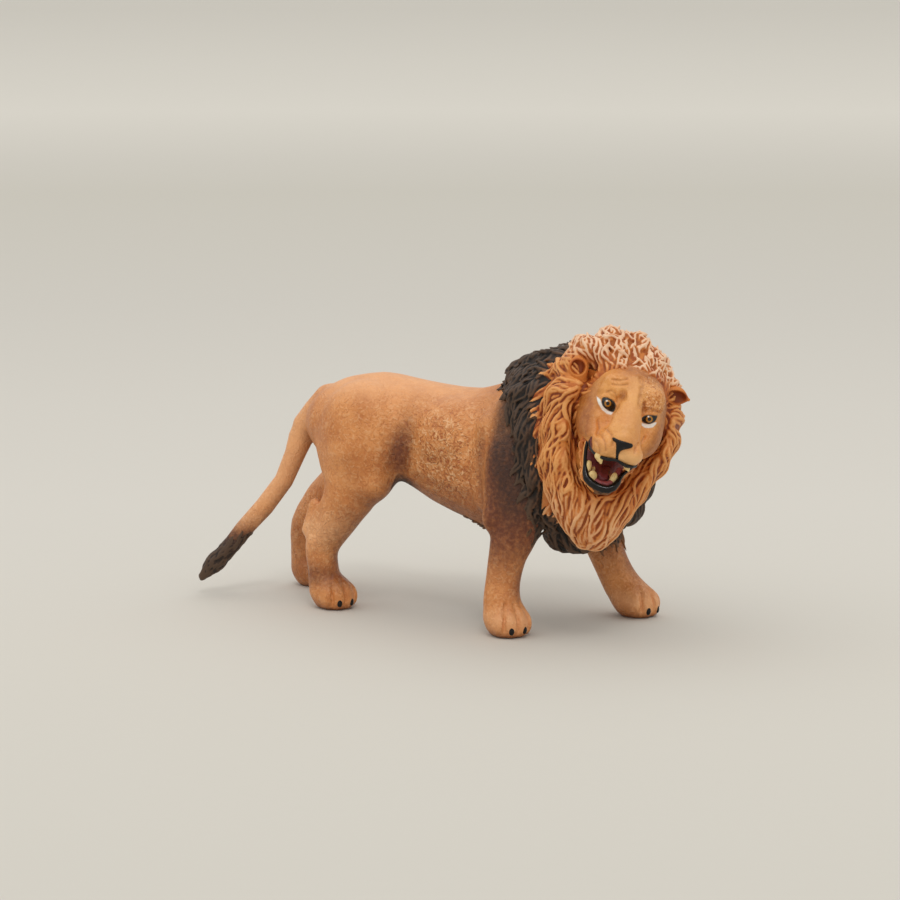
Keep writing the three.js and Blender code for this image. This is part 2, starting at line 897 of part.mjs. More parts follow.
// A cupped ear on a stem that runs into the skull. Its grown form fills the cup.
function earBody(side, grow = 0) {
  const middle = new THREE.Vector3(earForward, (side * earSpacing) / 2, earRise);
  const root = new THREE.Vector3(earForward, side * skullWidth * 0.2, earRise * 0.45);
  const half = earWidth / 2 + grow;
  const shell = ball(middle, earThickness / 2 + grow, half, half, limbSides);
  const solid = shell.add(rod(root, middle, earStemRadius + grow));
  if (grow > 0) {
    return inHead(solid);
  }
  const hollow = middle.clone();
  hollow.x += earThickness;
  const bowl = half - earHollow;
  return inHead(solid.subtract(ball(hollow, earThickness, bowl, bowl, limbSides)));
}

// The point at a share of the way round an outline.
function alongOutline(outline, share) {
  const place = (share - Math.floor(share)) * outline.length;
  const index = Math.floor(place);
  const next = outline[(index + 1) % outline.length];
  return outline[index].clone().lerp(next, place - index);
}

// Rings of locks over a loft. Each lock starts in the surface, swells and ends in a raised point.
function carvedLocks(keys, { sideways, outline, facing, rings, grow = 0 }) {
  const ringAt = ringsThrough(keys, { sideways, facing });
  const locks = [];
  for (const [start, end, count, first, sweep] of rings) {
    for (let k = 0; k < count; k += 1) {
      const round = (k + first) / count;
      const spots = lockShares.map(([along, , rise]) => {
        const ring = ringAt(start + (end - start) * along);
        const share = round - sweep * along * Math.cos(round * Math.PI * 2);
        const spot = pointOnRing(ring, alongOutline(outline, share));
        const out = new THREE.Vector3().subVectors(spot, ring.middle).normalize();
        return { out, at: spot.addScaledVector(out, (rise - 0.5) * lockHeight * 0.6) };
      });
      const run = new THREE.Vector3().subVectors(spots.at(-1).at, spots[0].at);
      const across = new THREE.Vector3().crossVectors(run, spots[2].out).normalize();
      const lockKeys = spots.map(({ at }, index) => {
        const [, width, height] = lockShares[index];
        const tip = width === 0;
        const half = tip ? 0 : height * lockHeight * 0.6;
        return { at, side: (width * lockWidth) / 2, up: half, down: half };
      });
      locks.push(loft(lockKeys, { sideways: across, outline: lockOutline, steps: 1, grow }));
    }
  }
  return wasm.Manifold.union(locks);
}

// The ruff with its locks, without its face opening.
function ruffMass(grow = 0) {
  const keys = ruffShares.map(([along, rise, size]) => ({
    at: new THREE.Vector3(along * ruffDepth, -ruffAside, rise * ruffHeight - ruffDrop),
    side: (size * ruffWidth) / 2,
    up: (size * ruffHeight) / 2,
    down: (size * ruffHeight) / 2,
  }));
  const form = { sideways: left, facing: ahead, outline: ruffOutline, grow };
  const locks = carvedLocks(keys, { ...form, rings: ruffLockShares });
  return inRuff(loft(keys, form).add(locks));
}

// The opening that shows the face: it widens forward.
function faceWindow() {
  const half = faceHeight / 2;
  const drop = -ruffDrop * 0.4;
  const keys = faceWindowShares.map(([along, size]) => ({
    at: new THREE.Vector3(along * ruffDepth, 0, drop),
    side: (size * faceWidth) / 2,
    up: size * half * 0.84,
    down: size * half * 1.16,
  }));
  return inHead(loft(keys, { sideways: left, facing: ahead, outline: roundOutline }));
}

// The collar with its locks, ending in a line that leans back over the shoulders.
function collarBody() {
  const keys = collarShares.map(([along, turn, rise, width, up, down]) => ({
    at: new THREE.Vector3(
      collarPlace + along * collarLength,
      collarAside - turn * collarTurn,
      collarMiddleHeight + rise * collarRise,
    ),
    side: (width * collarWidth) / 2,
    up: (up * collarHeight) / 2,
    down: (down * collarHeight) / 2,
  }));
  const form = { sideways: left, outline: roundOutline };
  const locks = carvedLocks(keys, { ...form, rings: collarLockShares });
  return loft(keys, form).add(locks).subtract(behindCollar());
}

// Everything behind the collar's rear edge.
function behindCollar() {
  const corners = collarEdgeShares.map(
    ([along, height]) =>
      new THREE.Vector2(collarPlace + along * collarLength, height * collarHeight),
  );
  const block = new THREE.ExtrudeGeometry(new THREE.Shape(corners), {
    depth: collarWidth * 2,
    bevelEnabled: false,
  });
  block.rotateX(Math.PI / 2);
  block.translate(0, collarWidth, 0);
  return solidFrom(block);
}

// Everything under the ground, cut off so that each paw has a flat sole.
function underground() {
  const size = trunkLength * 3;
  const slab = new THREE.BoxGeometry(size, size, pawHeight);
  slab.translate(0, 0, -pawHeight / 2);
  return solidFrom(slab);
}

// Assembly: later pieces are cut by the pieces that they lie on.
const pieces = new Map();
const ground = underground();
const grownTorso = torsoBody(seamGap);
let torso = torsoBody();

for (const [name, leg] of Object.entries(legs)) {
  const [outer, inner] = legPeg(leg);
  torso = torso.subtract(socket(outer, inner, legPegRadius));
  const cut = largest(legBody(leg).subtract(grownTorso).subtract(ground));
  pieces.set(name, { solid: cut.add(rod(outer, inner, legPegRadius)), finish: tan });
}

const tailPeg = [
  new THREE.Vector3(tailRootPlace - tailReach * 0.17, 0, tailRootHeight - tailDrop * 0.14),
  new THREE.Vector3(tailRootPlace + tailThickness, 0, tailRootHeight),
];
torso = torso.subtract(socket(...tailPeg, tailPegRadius));
const tail = largest(tailBody().subtract(grownTorso)).add(rod(...tailPeg, tailPegRadius));
const tuft = largest(tuftBody().subtract(tailBody(seamGap)));
pieces.set("tail", { solid: tail, finish: tan });
pieces.set("tail_tuft", { solid: tuft, finish: umber });
pieces.set("torso", { solid: largest(torso), finish: tan });

const jawPeg = [
  headPoint(jawBase + jawLength * 0.1, 0, -jawHingeDrop),
  headPoint(-skullLength * 0.16, 0, -jawHingeDrop * 0.6),
];
const grownHead = headBody(seamGap);
const jaw = largest(jawBody().subtract(grownHead)).add(rod(...jawPeg, jawPegRadius));
const grownJaw = jawBody(seamGap);
let head = headBody().subtract(grownTorso).subtract(socket(...jawPeg, jawPegRadius));
for (const [name, side] of Object.entries(sides)) {
  head = head.subtract(eyeBall(side, seamGap)).subtract(earBody(side, seamGap));
  pieces.set(name + "_eye", { solid: eyeBall(side), finish: amber });
  pieces.set(name + "_ear", { solid: earBody(side), finish: gold });
}
head = largest(head.subtract(nosePad(seamGap)));
pieces.set("nose_pad", { solid: nosePad(), finish: black });
pieces.set("head", { solid: head, finish: paleGold });
pieces.set("lower_jaw", { solid: jaw, finish: paleGold });

const tongue = largest(tongueBody().subtract(grownJaw).subtract(grownHead));
const lowerTeeth = largest(
  teethBody(lowerTeethRow).subtract(grownJaw).subtract(tongueBody(seamGap)).subtract(grownHead),
);
const upperTeeth = largest(teethBody(upperTeethRow).subtract(grownHead));
pieces.set("tongue", { solid: tongue, finish: rose });
pieces.set("lower_teeth", { solid: lowerTeeth, finish: ivory });
pieces.set("upper_teeth", { solid: upperTeeth, finish: ivory });

let ruff = ruffMass().subtract(faceWindow());
ruff = ruff.subtract(grownTorso).subtract(grownHead).subtract(grownJaw);
for (const side of Object.values(sides)) {
  ruff = ruff.subtract(earBody(side, seamGap));
}

let collar = collarBody().subtract(grownTorso);
collar = collar.subtract(ruffMass(seamGap)).subtract(grownHead);
for (const name of ["right_foreleg", "left_foreleg"]) {
  const grownLeg = legBody(legs[name], seamGap);
  collar = collar.subtract(grownLeg);
  ruff = ruff.subtract(grownLeg);
}
pieces.set("front_mane", { solid: largest(ruff), finish: gold });
pieces.set("rear_mane", { solid: largest(collar), finish: umber });

const figure = new THREE.Group();
for (const [name, { solid, finish }] of pieces) {
  const { vertProperties, triVerts } = solid.getMesh();
  const geometry = new THREE.BufferGeometry();
  geometry.setAttribute("position", new THREE.BufferAttribute(vertProperties, 3));
  geometry.setIndex(new THREE.BufferAttribute(triVerts, 1));
  geometry.computeVertexNormals();
  const mesh = new THREE.Mesh(geometry, new THREE.MeshStandardMaterial(finish));
  mesh.name = name;
  figure.add(mesh);
}

// The figure's outer size is centred over the origin.
const outer = new THREE.Box3().setFromObject(figure);
const centre = outer.getCenter(new THREE.Vector3());
figure.position.set(-centre.x, -centre.y, 0);

export default figure;
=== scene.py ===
"""The looks of a moulded toy lion: sculpted skin, carved mane locks, painted face and claws.

Forms are shaped in millimetres in the lion's own frame, as on a maker's bench: +X runs forward
along the trunk, +Y to the lion's left, +Z up, with the middle plane at Y = 0. Face forms are
shaped in the head's frame: x forward out of the face, y to the lion's left, z through the crown.
"""

import json
import math

import bmesh
import bpy
import numpy as np
import openvdb
from mathutils import Matrix, Vector
from mathutils.bvhtree import BVHTree
from mathutils.kdtree import KDTree


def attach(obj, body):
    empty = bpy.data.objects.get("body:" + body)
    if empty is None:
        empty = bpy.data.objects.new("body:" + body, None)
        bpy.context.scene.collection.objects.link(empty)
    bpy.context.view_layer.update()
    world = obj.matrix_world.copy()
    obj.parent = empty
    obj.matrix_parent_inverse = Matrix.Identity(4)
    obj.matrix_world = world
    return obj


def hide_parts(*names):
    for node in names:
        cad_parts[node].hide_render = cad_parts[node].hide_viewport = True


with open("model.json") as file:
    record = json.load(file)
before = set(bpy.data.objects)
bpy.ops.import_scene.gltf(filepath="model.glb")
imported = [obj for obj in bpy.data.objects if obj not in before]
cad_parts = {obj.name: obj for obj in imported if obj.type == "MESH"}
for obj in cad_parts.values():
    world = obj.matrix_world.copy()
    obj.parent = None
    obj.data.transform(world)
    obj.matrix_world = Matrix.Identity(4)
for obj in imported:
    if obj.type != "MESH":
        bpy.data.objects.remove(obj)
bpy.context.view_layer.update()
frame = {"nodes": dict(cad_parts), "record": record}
bpy.ops.object.select_all(action="DESELECT")

# Places and sizes, in mm

MM = 0.001
PICTURE = 900  # pixels across the square picture

# Where each paw stands, and the way it points, in degrees from straight ahead
PAWS = {
    "right_foreleg": ((23.4, -15.4), -34),
    "left_foreleg": ((36.4, 12.2), -14),
    "right_hindleg": ((-17.6, -7.6), -26),
    "left_hindleg": ((-32.4, 10.6), -8),
}
SIDE = {"right": -1, "left": 1}

# The part's frame has its origin under the middle of the figure: the record's own soles tell
# how far that is from the lion's frame.
sole = next(m for m in frame["record"]["mounts"] if m["name"] == "right_forepaw_sole")
SHIFT = np.array(sole["pos_m"]) / MM - np.array([*PAWS["right_foreleg"][0], 0.0])

HEAD_MIDDLE = np.array([45.2, -15.0, 40.9])
HEAD_YAW, HEAD_PITCH, HEAD_ROLL = -56.7, 4.9, -19.1
HEAD_TURN = np.array(
    Matrix.Rotation(math.radians(HEAD_YAW), 3, "Z")
    @ Matrix.Rotation(math.radians(-HEAD_PITCH), 3, "Y")
    @ Matrix.Rotation(math.radians(HEAD_ROLL), 3, "X")
)

CAMERA_PLACE = (290.66, -540.15, 122.08)
CAMERA_TARGET = (-11.14, 27.46, 26.0)
CAMERA_REACH = 3295.3  # pixels from the lens to a picture of PICTURE pixels
FILM_WIDTH = 36


def to_lion(points):
    """Points of the head's frame in the lion's frame."""
    return np.asarray(points, float) @ HEAD_TURN.T + HEAD_MIDDLE


def to_head(points):
    """Points of the lion's frame in the head's frame."""
    return (np.asarray(points, float) - HEAD_MIDDLE) @ HEAD_TURN


def to_part(points):
    """Points of the lion's frame, in mm, in the part's frame, in metres."""
    return (np.asarray(points, float) + SHIFT) * MM


def step_up(value, low, high):
    """Nothing below low, one above high, and a soft step between."""
    share = np.clip((value - low) / (high - low), 0, 1)
    return share * share * (3 - 2 * share)


def bell(*offsets):
    """One where every offset is nothing, fading out softly over about one on all sides."""
    return np.exp(-sum(offset**2 for offset in offsets))


def unit(vector):
    vector = np.asarray(vector, float)
    return vector / np.maximum(np.linalg.norm(vector, axis=-1, keepdims=True), 1e-9)


# Clay


def smooth_join(a, b, blend):
    """The nearer of two distances, with a fillet about as wide as blend where they meet."""
    if blend <= 0:
        return np.minimum(a, b)
    share = np.clip(0.5 + 0.5 * (a - b) / blend, 0, 1)
    return a + (b - a) * share - blend * share * (1 - share)


def ball(centre, radii, turn=None):
    """An ellipsoid, as its lowest and highest corner and its distance."""
    centre, radii = np.asarray(centre, float), np.asarray(radii, float)
    matrix = np.identity(3) if turn is None else np.array(turn)
    extent = np.sqrt(((matrix * radii) ** 2).sum(axis=1))

    def distance(x, y, z):
        offset = [x - centre[0], y - centre[1], z - centre[2]]
        own = [sum(matrix[i, j] * offset[i] for i in range(3)) for j in range(3)]
        near = np.sqrt(sum((own[j] / radii[j]) ** 2 for j in range(3)))
        steep = np.sqrt(sum((own[j] / radii[j] ** 2) ** 2 for j in range(3)))
        return near * (near - 1) / np.maximum(steep, 1e-4)

    return centre - extent, centre + extent, distance


def limb(*rows):
    """A round bar through rows of x, y, z and radius."""
    rows = np.array(rows, float)
    radii = rows[:, 3:]

    def distance(x, y, z):
        best = None
        for a, b in zip(rows[:-1], rows[1:]):
            along = b[:3] - a[:3]
            offset = [x - a[0], y - a[1], z - a[2]]
            share = sum(along[i] * offset[i] for i in range(3)) / max(along @ along, 1e-9)
            share = np.clip(share, 0, 1)
            gap = np.sqrt(sum((offset[i] - along[i] * share) ** 2 for i in range(3)))
            gap = gap - (a[3] + (b[3] - a[3]) * share)
            best = gap if best is None else np.minimum(best, gap)
        return best

    return (rows[:, :3] - radii).min(0), (rows[:, :3] + radii).max(0), distance


class Clay:
    """A block of clay: signed distances in mm on an even grid, less than nothing inside."""

    REACH = 4.5

    def __init__(self, low, high, step):
        self.step = step
        self.first = np.floor(np.asarray(low, float) / step).astype(int)
        last = np.ceil(np.asarray(high, float) / step).astype(int)
        self.field = np.full(last - self.first + 1, self.REACH, np.float32)

    def window(self, low, high, margin):
        """The part of the grid between two corners, and the coordinates of its points."""
        start = np.floor((np.asarray(low) - margin) / self.step).astype(int) - self.first
        stop = np.ceil((np.asarray(high) + margin) / self.step).astype(int) - self.first + 1
        start = np.clip(start, 0, self.field.shape)
        stop = np.clip(stop, start, self.field.shape)
        axes = [
            ((np.arange(start[i], stop[i]) + self.first[i]) * self.step).astype(np.float32)
            for i in range(3)
        ]
        cells = tuple(slice(start[i], stop[i]) for i in range(3))
        return cells, np.meshgrid(*axes, indexing="ij", sparse=True)

    def corners(self):
        """The lowest and highest point of the block."""
        return self.first * self.step, (self.first + np.array(self.field.shape) - 1) * self.step

    def add(self, shape, blend=0.0):
        low, high, distance = shape
        cells, spots = self.window(low, high, blend + 3 * self.step)
        self.field[cells] = smooth_join(self.field[cells], distance(*spots), blend)

    def cut(self, shape, blend=0.0):
        low, high, distance = shape
        cells, spots = self.window(low, high, blend + 3 * self.step)
        self.field[cells] = -smooth_join(-self.field[cells], distance(*spots), blend)

    def solid(self, points, triangles, reach=REACH):
        """Distances to closed meshes, over the whole block."""
        grid = openvdb.FloatGrid.createLevelSetFromPolygons(
            points.astype(np.float32),
            triangles=triangles.astype(np.uint32),
            transform=openvdb.createLinearTransform(voxelSize=self.step),
            halfWidth=reach / self.step,
        )
        field = np.empty(self.field.shape, np.float32)
        grid.copyToArray(field, ijk=tuple(int(i) for i in self.first))
        return field

    def soften(self, times):
        """Rubs the block down: each time takes off a little of every edge."""
        for _ in range(times):
            for axis in range(3):
                rows = np.moveaxis(self.field, axis, 0)
                rows[1:-1] = 0.25 * rows[:-2] + 0.5 * rows[1:-1] + 0.25 * rows[2:]

    def at(self, points, field=None):
        """The distance at points of the block."""
        field = self.field if field is None else field
        spots = np.asarray(points, float) / self.step - self.first
        spots = np.clip(spots, 0, np.array(field.shape) - 1.001)
        base = spots.astype(int)
        part = spots - base
        total = 0.0
        for corner in np.ndindex(2, 2, 2):
            weight = np.prod(np.where(corner, part, 1 - part), axis=1)
            i, j, k = (base + corner).T
            total = total + weight * field[i, j, k]
        return total

    def skin(self, rubs=2):
        """Points and outward quads of the clay's surface."""
        grid = openvdb.FloatGrid(self.REACH)
        grid.copyFromArray(self.field, ijk=tuple(int(i) for i in self.first))
        grid.transform = openvdb.createLinearTransform(voxelSize=self.step)
        points, quads = grid.convertToQuads(isovalue=0.0)
        points, quads = points.astype(float), quads.astype(int)
        if volume(points, quads) < 0:
            quads = quads[:, ::-1]
        for _ in range(rubs):
            points = rubbed(points, quads, 0.5)
            points = rubbed(points, quads, -0.52)
        return points, quads


def volume(points, quads):
    """Six times what closed outward quads hold, less than nothing if they face inwards."""
    a, b, c, d = (points[quads[:, k]] for k in range(4))
    return (np.cross(b - a, c - a) * a).sum() + (np.cross(c - a, d - a) * a).sum()


def halved(quads):
    """Each quad as two triangles."""
    return np.concatenate([quads[:, [0, 1, 2]], quads[:, [0, 2, 3]]])


def rubbed(points, quads, amount):
    """Points moved towards the middle of their neighbours."""
    ends = np.concatenate([quads[:, [k, (k + 1) % 4]] for k in range(4)])
    ends = np.concatenate([ends, ends[:, ::-1]])
    count = np.maximum(np.bincount(ends[:, 0], minlength=len(points)), 1)
    middle = np.stack(
        [np.bincount(ends[:, 0], points[ends[:, 1], i], len(points)) / count for i in range(3)],
        axis=1,
    )
    return points + (middle - points) * amount


def spread(values, quads, times):
    """Values on a surface's points, shared out with their neighbours."""
    values = np.repeat(values[:, None], 3, axis=1)
    for _ in range(times):
        values = rubbed(values, quads, 0.6)
    return values[:, 0]


def facing(points, quads):
    """The outward direction at each point."""
    across = np.cross(
        points[quads[:, 2]] - points[quads[:, 0]], points[quads[:, 3]] - points[quads[:, 1]]
    )
    total = np.zeros_like(points)
    for i in range(3):
        for k in range(4):
            total[:, i] += np.bincount(quads[:, k], across[:, i], len(points))
    return unit(total)


def relief(points, quads, times):
    """How far each point stands proud of its surroundings, in mm."""
    flat = points
    for _ in range(times):
        flat = rubbed(flat, quads, 0.7)
    return ((points - flat) * facing(points, quads)).sum(1)


def node_mesh(name):
    """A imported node's points in the lion's frame, and its triangles."""
    mesh = bmesh.new()
    mesh.from_mesh(frame["nodes"][name].data)
    bmesh.ops.remove_doubles(mesh, verts=mesh.verts, dist=1e-7)
    bmesh.ops.triangulate(mesh, faces=mesh.faces)
    points = np.array([v.co for v in mesh.verts]) / MM - SHIFT
    triangles = np.array([[v.index for v in f.verts] for f in mesh.faces])
    mesh.free()
    return points, triangles


# Finished pieces


def set_mark(mesh, name, values):
    """A value on each point of a mesh, for its paint to read."""
    layer = mesh.attributes.new(name, "FLOAT", "POINT")
    layer.data.foreach_set("value", np.asarray(values, np.float32))


def piece(name, points, quads, material, nodes=(), slot=None, marks=None):
    """A mesh in the part's frame that rides on the figure. Marks are values on its points."""
    mesh = bpy.data.meshes.new(name)
    mesh.vertices.add(len(points))
    mesh.vertices.foreach_set("co", to_part(points).astype(np.float32).ravel())
    mesh.loops.add(quads.size)
    mesh.loops.foreach_set("vertex_index", quads.astype(np.int32).ravel())
    mesh.polygons.add(len(quads))
    mesh.polygons.foreach_set("loop_start", np.arange(0, quads.size, 4, dtype=np.int32))
    mesh.polygons.foreach_set("loop_total", np.full(len(quads), 4, np.int32))
    mesh.update(calc_edges=True)
    mesh.validate()
    mesh.shade_smooth()
    for mark, values in (marks or {}).items():
        set_mark(mesh, mark, values)
    mesh.materials.append(material)
    made = bpy.data.objects.new(name, mesh)
    bpy.context.scene.collection.objects.link(made)
    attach(made, "root")
    if nodes:
        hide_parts(*nodes)
    return made


def part_of(quads, owner, name):
    """The quads that one piece owns, renumbered, and the points that they use."""
    own = quads[owner == name]
    used, renumbered = np.unique(own, return_inverse=True)
    return used, renumbered.reshape(own.shape)


def close_joints(made, normals, depth):
    """Turns a piece's open rims inwards, where its neighbours hide them, and caps them there."""
    mesh = bmesh.new()
    mesh.from_mesh(made.data)
    mesh.verts.ensure_lookup_table()
    before = len(mesh.verts)
    rim = [edge for edge in mesh.edges if edge.is_boundary]
    inwards = {v.index: Vector(-depth * MM * normals[v.index]) for edge in rim for v in edge.verts}
    starts = {tuple(v.co): v.index for edge in rim for v in edge.verts}
    turned = bmesh.ops.extrude_edge_only(mesh, edges=rim)["geom"]
    for vert in (v for v in turned if isinstance(v, bmesh.types.BMVert)):
        vert.co += inwards[starts[tuple(vert.co)]]
    edges = [edge for edge in mesh.edges if edge.is_boundary]
    caps = bmesh.ops.holes_fill(mesh, edges=edges, sides=0)["faces"]
    bmesh.ops.triangulate(mesh, faces=caps)
    mesh.to_mesh(made.data)
    added = len(mesh.verts) - before
    mesh.free()
    normals = np.concatenate([normals, np.zeros((added, 3))])
    made.data.normals_split_custom_set_from_vertices(normals)


def cut_pieces(points, quads, owner, marks, looks, depth):
    """Cuts a surface into pieces by the owner of each quad, and turns their rims inwards."""
    normals = facing(points, quads)
    for name, (paint, nodes, slot) in looks.items():
        used, own = part_of(quads, owner, name)
        own_marks = {mark: values[used] for mark, values in marks.items()}
        made = piece(name, points[used], own, paint, nodes, slot, own_marks)
        close_joints(made, normals[used], depth)


# Paints


class Wire:
    """A number from a material's nodes that can be used in sums."""

    def __init__(self, paint, socket):
        self.paint, self.socket = paint, socket

    def sum(self, operation, first, second):
        return self.paint.node("Math", {"operation": operation}, [first, second])["Value"]

    def __add__(self, other):
        return self.sum("ADD", self, other)

    def __sub__(self, other):
        return self.sum("SUBTRACT", self, other)

    def __mul__(self, other):
        return self.sum("MULTIPLY", self, other)

    def __truediv__(self, other):
        return self.sum("DIVIDE", self, other)

    def __rsub__(self, other):
        return self.sum("SUBTRACT", other, self)

    def __rtruediv__(self, other):
        return self.sum("DIVIDE", other, self)

    __radd__ = __add__
    __rmul__ = __mul__

    def clear(self, low, high):
        """Nothing below low, one above high, and a soft step between."""
        settings = {"interpolation_type": "SMOOTHSTEP"}
        values = {"Value": self, "From Min": low, "From Max": high}
        return self.paint.node("MapRange", settings, values)["Result"]


class Paint:
    """One procedural material."""

    def __init__(self, name):
        self.material = bpy.data.materials.new(name)
        self.material.use_nodes = True
        self.nodes = self.material.node_tree.nodes
        self.links = self.material.node_tree.links
        self.nodes.clear()

    def node(self, kind, settings=None, values=()):
        """A node of a kind, its settings first and then the values or links of its inputs."""
        made = self.nodes.new("ShaderNode" + kind)
        for key, value in (settings or {}).items():
            if key == "stops":
                self.set_stops(made.color_ramp, value)
            else:
                setattr(made, key, value)
        pairs = values.items() if isinstance(values, dict) else enumerate(values)
        for key, value in pairs:
            socket = made.inputs[key]
            if isinstance(value, Wire):
                self.links.new(value.socket, socket)
            elif isinstance(value, tuple) and len(value) == 3 and socket.type == "RGBA":
                socket.default_value = (*value, 1)
            else:
                socket.default_value = value
        return {o.name: Wire(self, o) for o in made.outputs if o.enabled}

    @staticmethod
    def set_stops(ramp, stops):
        while len(ramp.elements) < len(stops):
            ramp.elements.new(1)
        for element, (place, shade) in zip(ramp.elements, stops):
            element.position = place
            element.color = (*shade, 1)

    def mix(self, share, first, second):
        """Two colours mixed by a share."""
        made = self.nodes.new("ShaderNodeMix")
        made.data_type = "RGBA"
        for index, value in ((0, share), (6, first), (7, second)):
            if isinstance(value, Wire):
                self.links.new(value.socket, made.inputs[index])
            else:
                made.inputs[index].default_value = (*value, 1) if index else value
        return Wire(self, made.outputs[2])

    def mark(self, name):
        """A value that the piece's points carry."""
        return self.node("Attribute", {"attribute_name": name})["Fac"]

    def place(self, scale=(1, 1, 1), turn=(0, 0, 0)):
        """The place on the piece, in mm, stretched and turned."""
        spot = self.node("TexCoord")["Object"]
        scaled = tuple(s / MM for s in scale)
        values = {"Vector": spot, "Rotation": turn, "Scale": scaled}
        return self.node("Mapping", {}, values)["Vector"]

    def noise(self, spot, scale, detail=3.0, rough=0.55, warp=0.0):
        values = {"Vector": spot, "Scale": scale, "Detail": detail, "Roughness": rough, "Distortion": warp}
        return self.node("TexNoise", {}, values)["Fac"]

    def finish(self, base, roughness, bump=None, depth=0.0, **constants):
        """The surface itself. Depth is the relief in mm, and constants are set on the shader."""
        values = {"Base Color": base, "Roughness": roughness, **constants}
        if bump is not None:
            bumps = {"Height": bump, "Strength": 1.0, "Distance": depth * MM}
            values["Normal"] = self.node("Bump", {}, bumps)["Normal"]
        shader = self.node("BsdfPrincipled", {}, values)["BSDF"]
        self.node("OutputMaterial", {}, {"Surface": shader})
        return self.material


def colour(text):
    """A colour written as on screen, for the shader."""
    channels = [int(text[k : k + 2], 16) / 255 for k in (0, 2, 4)]
    return tuple(c / 12.92 if c <= 0.04045 else ((c + 0.055) / 1.055) ** 2.4 for c in channels)


def skin_paint(name, light="e39857", dark="ce8142", face=False):
    """Tan skin: wavy short-fur relief, brown paint and painted shade in the hollows, painted highlight and
    shade on the pebbles, umber by the mane.
    """
    paint = Paint(name)
    spot = paint.place()
    shade, rust, pale, pebbled = (paint.mark(m) for m in ("shade", "rust", "pale", "pebbled"))
    patches = paint.noise(spot, 0.16, 4.0)
    specks = paint.noise(spot, 1.3, 2.0)
    swirl = paint.noise(spot, 2.1 if face else 1.25, 1.2, 0.5, 1.3)
    hairs = paint.noise(paint.place((1, 1, 0.45)), 3.4, 2.0, 0.6)
    tan = paint.mix(patches.clear(0.35, 0.65), colour(dark), colour(light))
    # pebble tops lighter as a painted highlight, pebble lows darker as painted shade
    wear_and_sheen = pebbled * 0.95 + 0.16
    tan = paint.mix(swirl.clear(0.5, 0.72) * wear_and_sheen, tan, colour("f3bd8a"))
    tan = paint.mix(swirl.clear(0.48, 0.3) * wear_and_sheen, tan, colour("b5642f"))
    # paler: painted light on the body's tops, paws, tail and hock; a paler muzzle and bridge on the face
    tan = paint.mix(pale, tan, colour("f0b878" if face else "fbbf8a"))
    # brown paint mixed with painted shade: hollows, folds, undersides and sides turned from the light
    brown_and_shade_share = (rust * (0.55 + 0.9 * specks)).clear(0.0, 1.15)
    tan = paint.mix(brown_and_shade_share, tan, colour("8a420f" if face else "6b3010"))
    umber = (shade * (0.65 + 0.7 * specks)).clear(0.02, 1.0)
    tan = paint.mix(umber, tan, colour("372015"))
    roughness = 0.36 + 0.14 * patches + 0.26 * shade - 0.08 * pebbled
    height = swirl * (0.25 + 0.9 * pebbled) + hairs * 0.2
    if face:
        black, white, mouth = paint.mark("black"), paint.mark("white"), paint.mark("mouth")
        tan = paint.mix(mouth.clear(0.3, 0.7), tan, colour("6e2c2b"))
        tan = paint.mix(white, tan, colour("f4f1ea"))
        tan = paint.mix(black, tan, colour("100c0b"))
        roughness = roughness - 0.2 * black - 0.12 * mouth
        height = height * (1 - black)
    return paint.finish(tan, roughness, height, 0.16 if face else 0.5)


def hair_paint(name, groove, deep, middle, brushed, wear_and_sheen):
    """Carved locks: a dark wash in the grooves and a pale brush drawn over the ridges."""
    paint = Paint(name)
    spot = paint.place()
    ridge, tone, along, region = (paint.mark(m) for m in ("ridge", "tone", "along", "region"))
    patches = paint.noise(spot, 0.2, 3.0)
    strokes = paint.noise(spot, 2.4, 3.0, 0.6)
    body = paint.mix((tone * 0.7 + patches * 0.6).clear(0.2, 1.0), colour(deep), colour(middle))
    body = paint.mix((0.4 - ridge).clear(0.0, 0.4) * (1 - 0.5 * region), body, colour(groove))
    touch = (ridge + 0.35 * strokes + 0.3 * along - 0.2).clear(0.35, 1.05) * (0.35 + 0.9 * patches)
    touched = touch.clear(0.0, 0.95) * (0.8 + 0.2 * region)
    body = paint.mix(touched, body, paint.mix(region, colour(brushed), colour(wear_and_sheen)))
    roughness = 0.42 + 0.22 * strokes
    return paint.finish(body, roughness, strokes, 0.06, **{"Specular IOR Level": 0.35})


def gloss_paint(name, base, edge, roughness=0.12):
    """Brushed-on gloss enamel: a base colour with thin places and a wet coat."""
    paint = Paint(name)
    spot = paint.place()
    thin = paint.noise(spot, 1.3, 3.0)
    body = paint.mix(thin.clear(0.5, 0.8), colour(base), colour(edge))
    return paint.finish(body, roughness + 0.1 * thin, thin, 0.03, **{"Specular IOR Level": 0.3})


def eye_paint():
    """An eye painted in rings about its axis: pupil, amber iris, dark rim, and a glint."""
    paint = Paint("eye_enamel")
    ring = paint.mark("ring")
    glint = paint.mark("glint")
    rays = paint.noise(paint.place(), 4.0, 3.0)
    amber = paint.mix(rays, colour("8d5a18"), colour("c98a2c"))
    eye = paint.mix(ring.clear(0.26, 0.32), colour("0d0a09"), amber)
    eye = paint.mix(ring.clear(0.5, 0.58), eye, colour("120d0b"))
    eye = paint.mix(glint, eye, colour("f4f1ea"))
    return paint.finish(eye, 0.08 + 0.06 * rays, rays, 0.01)


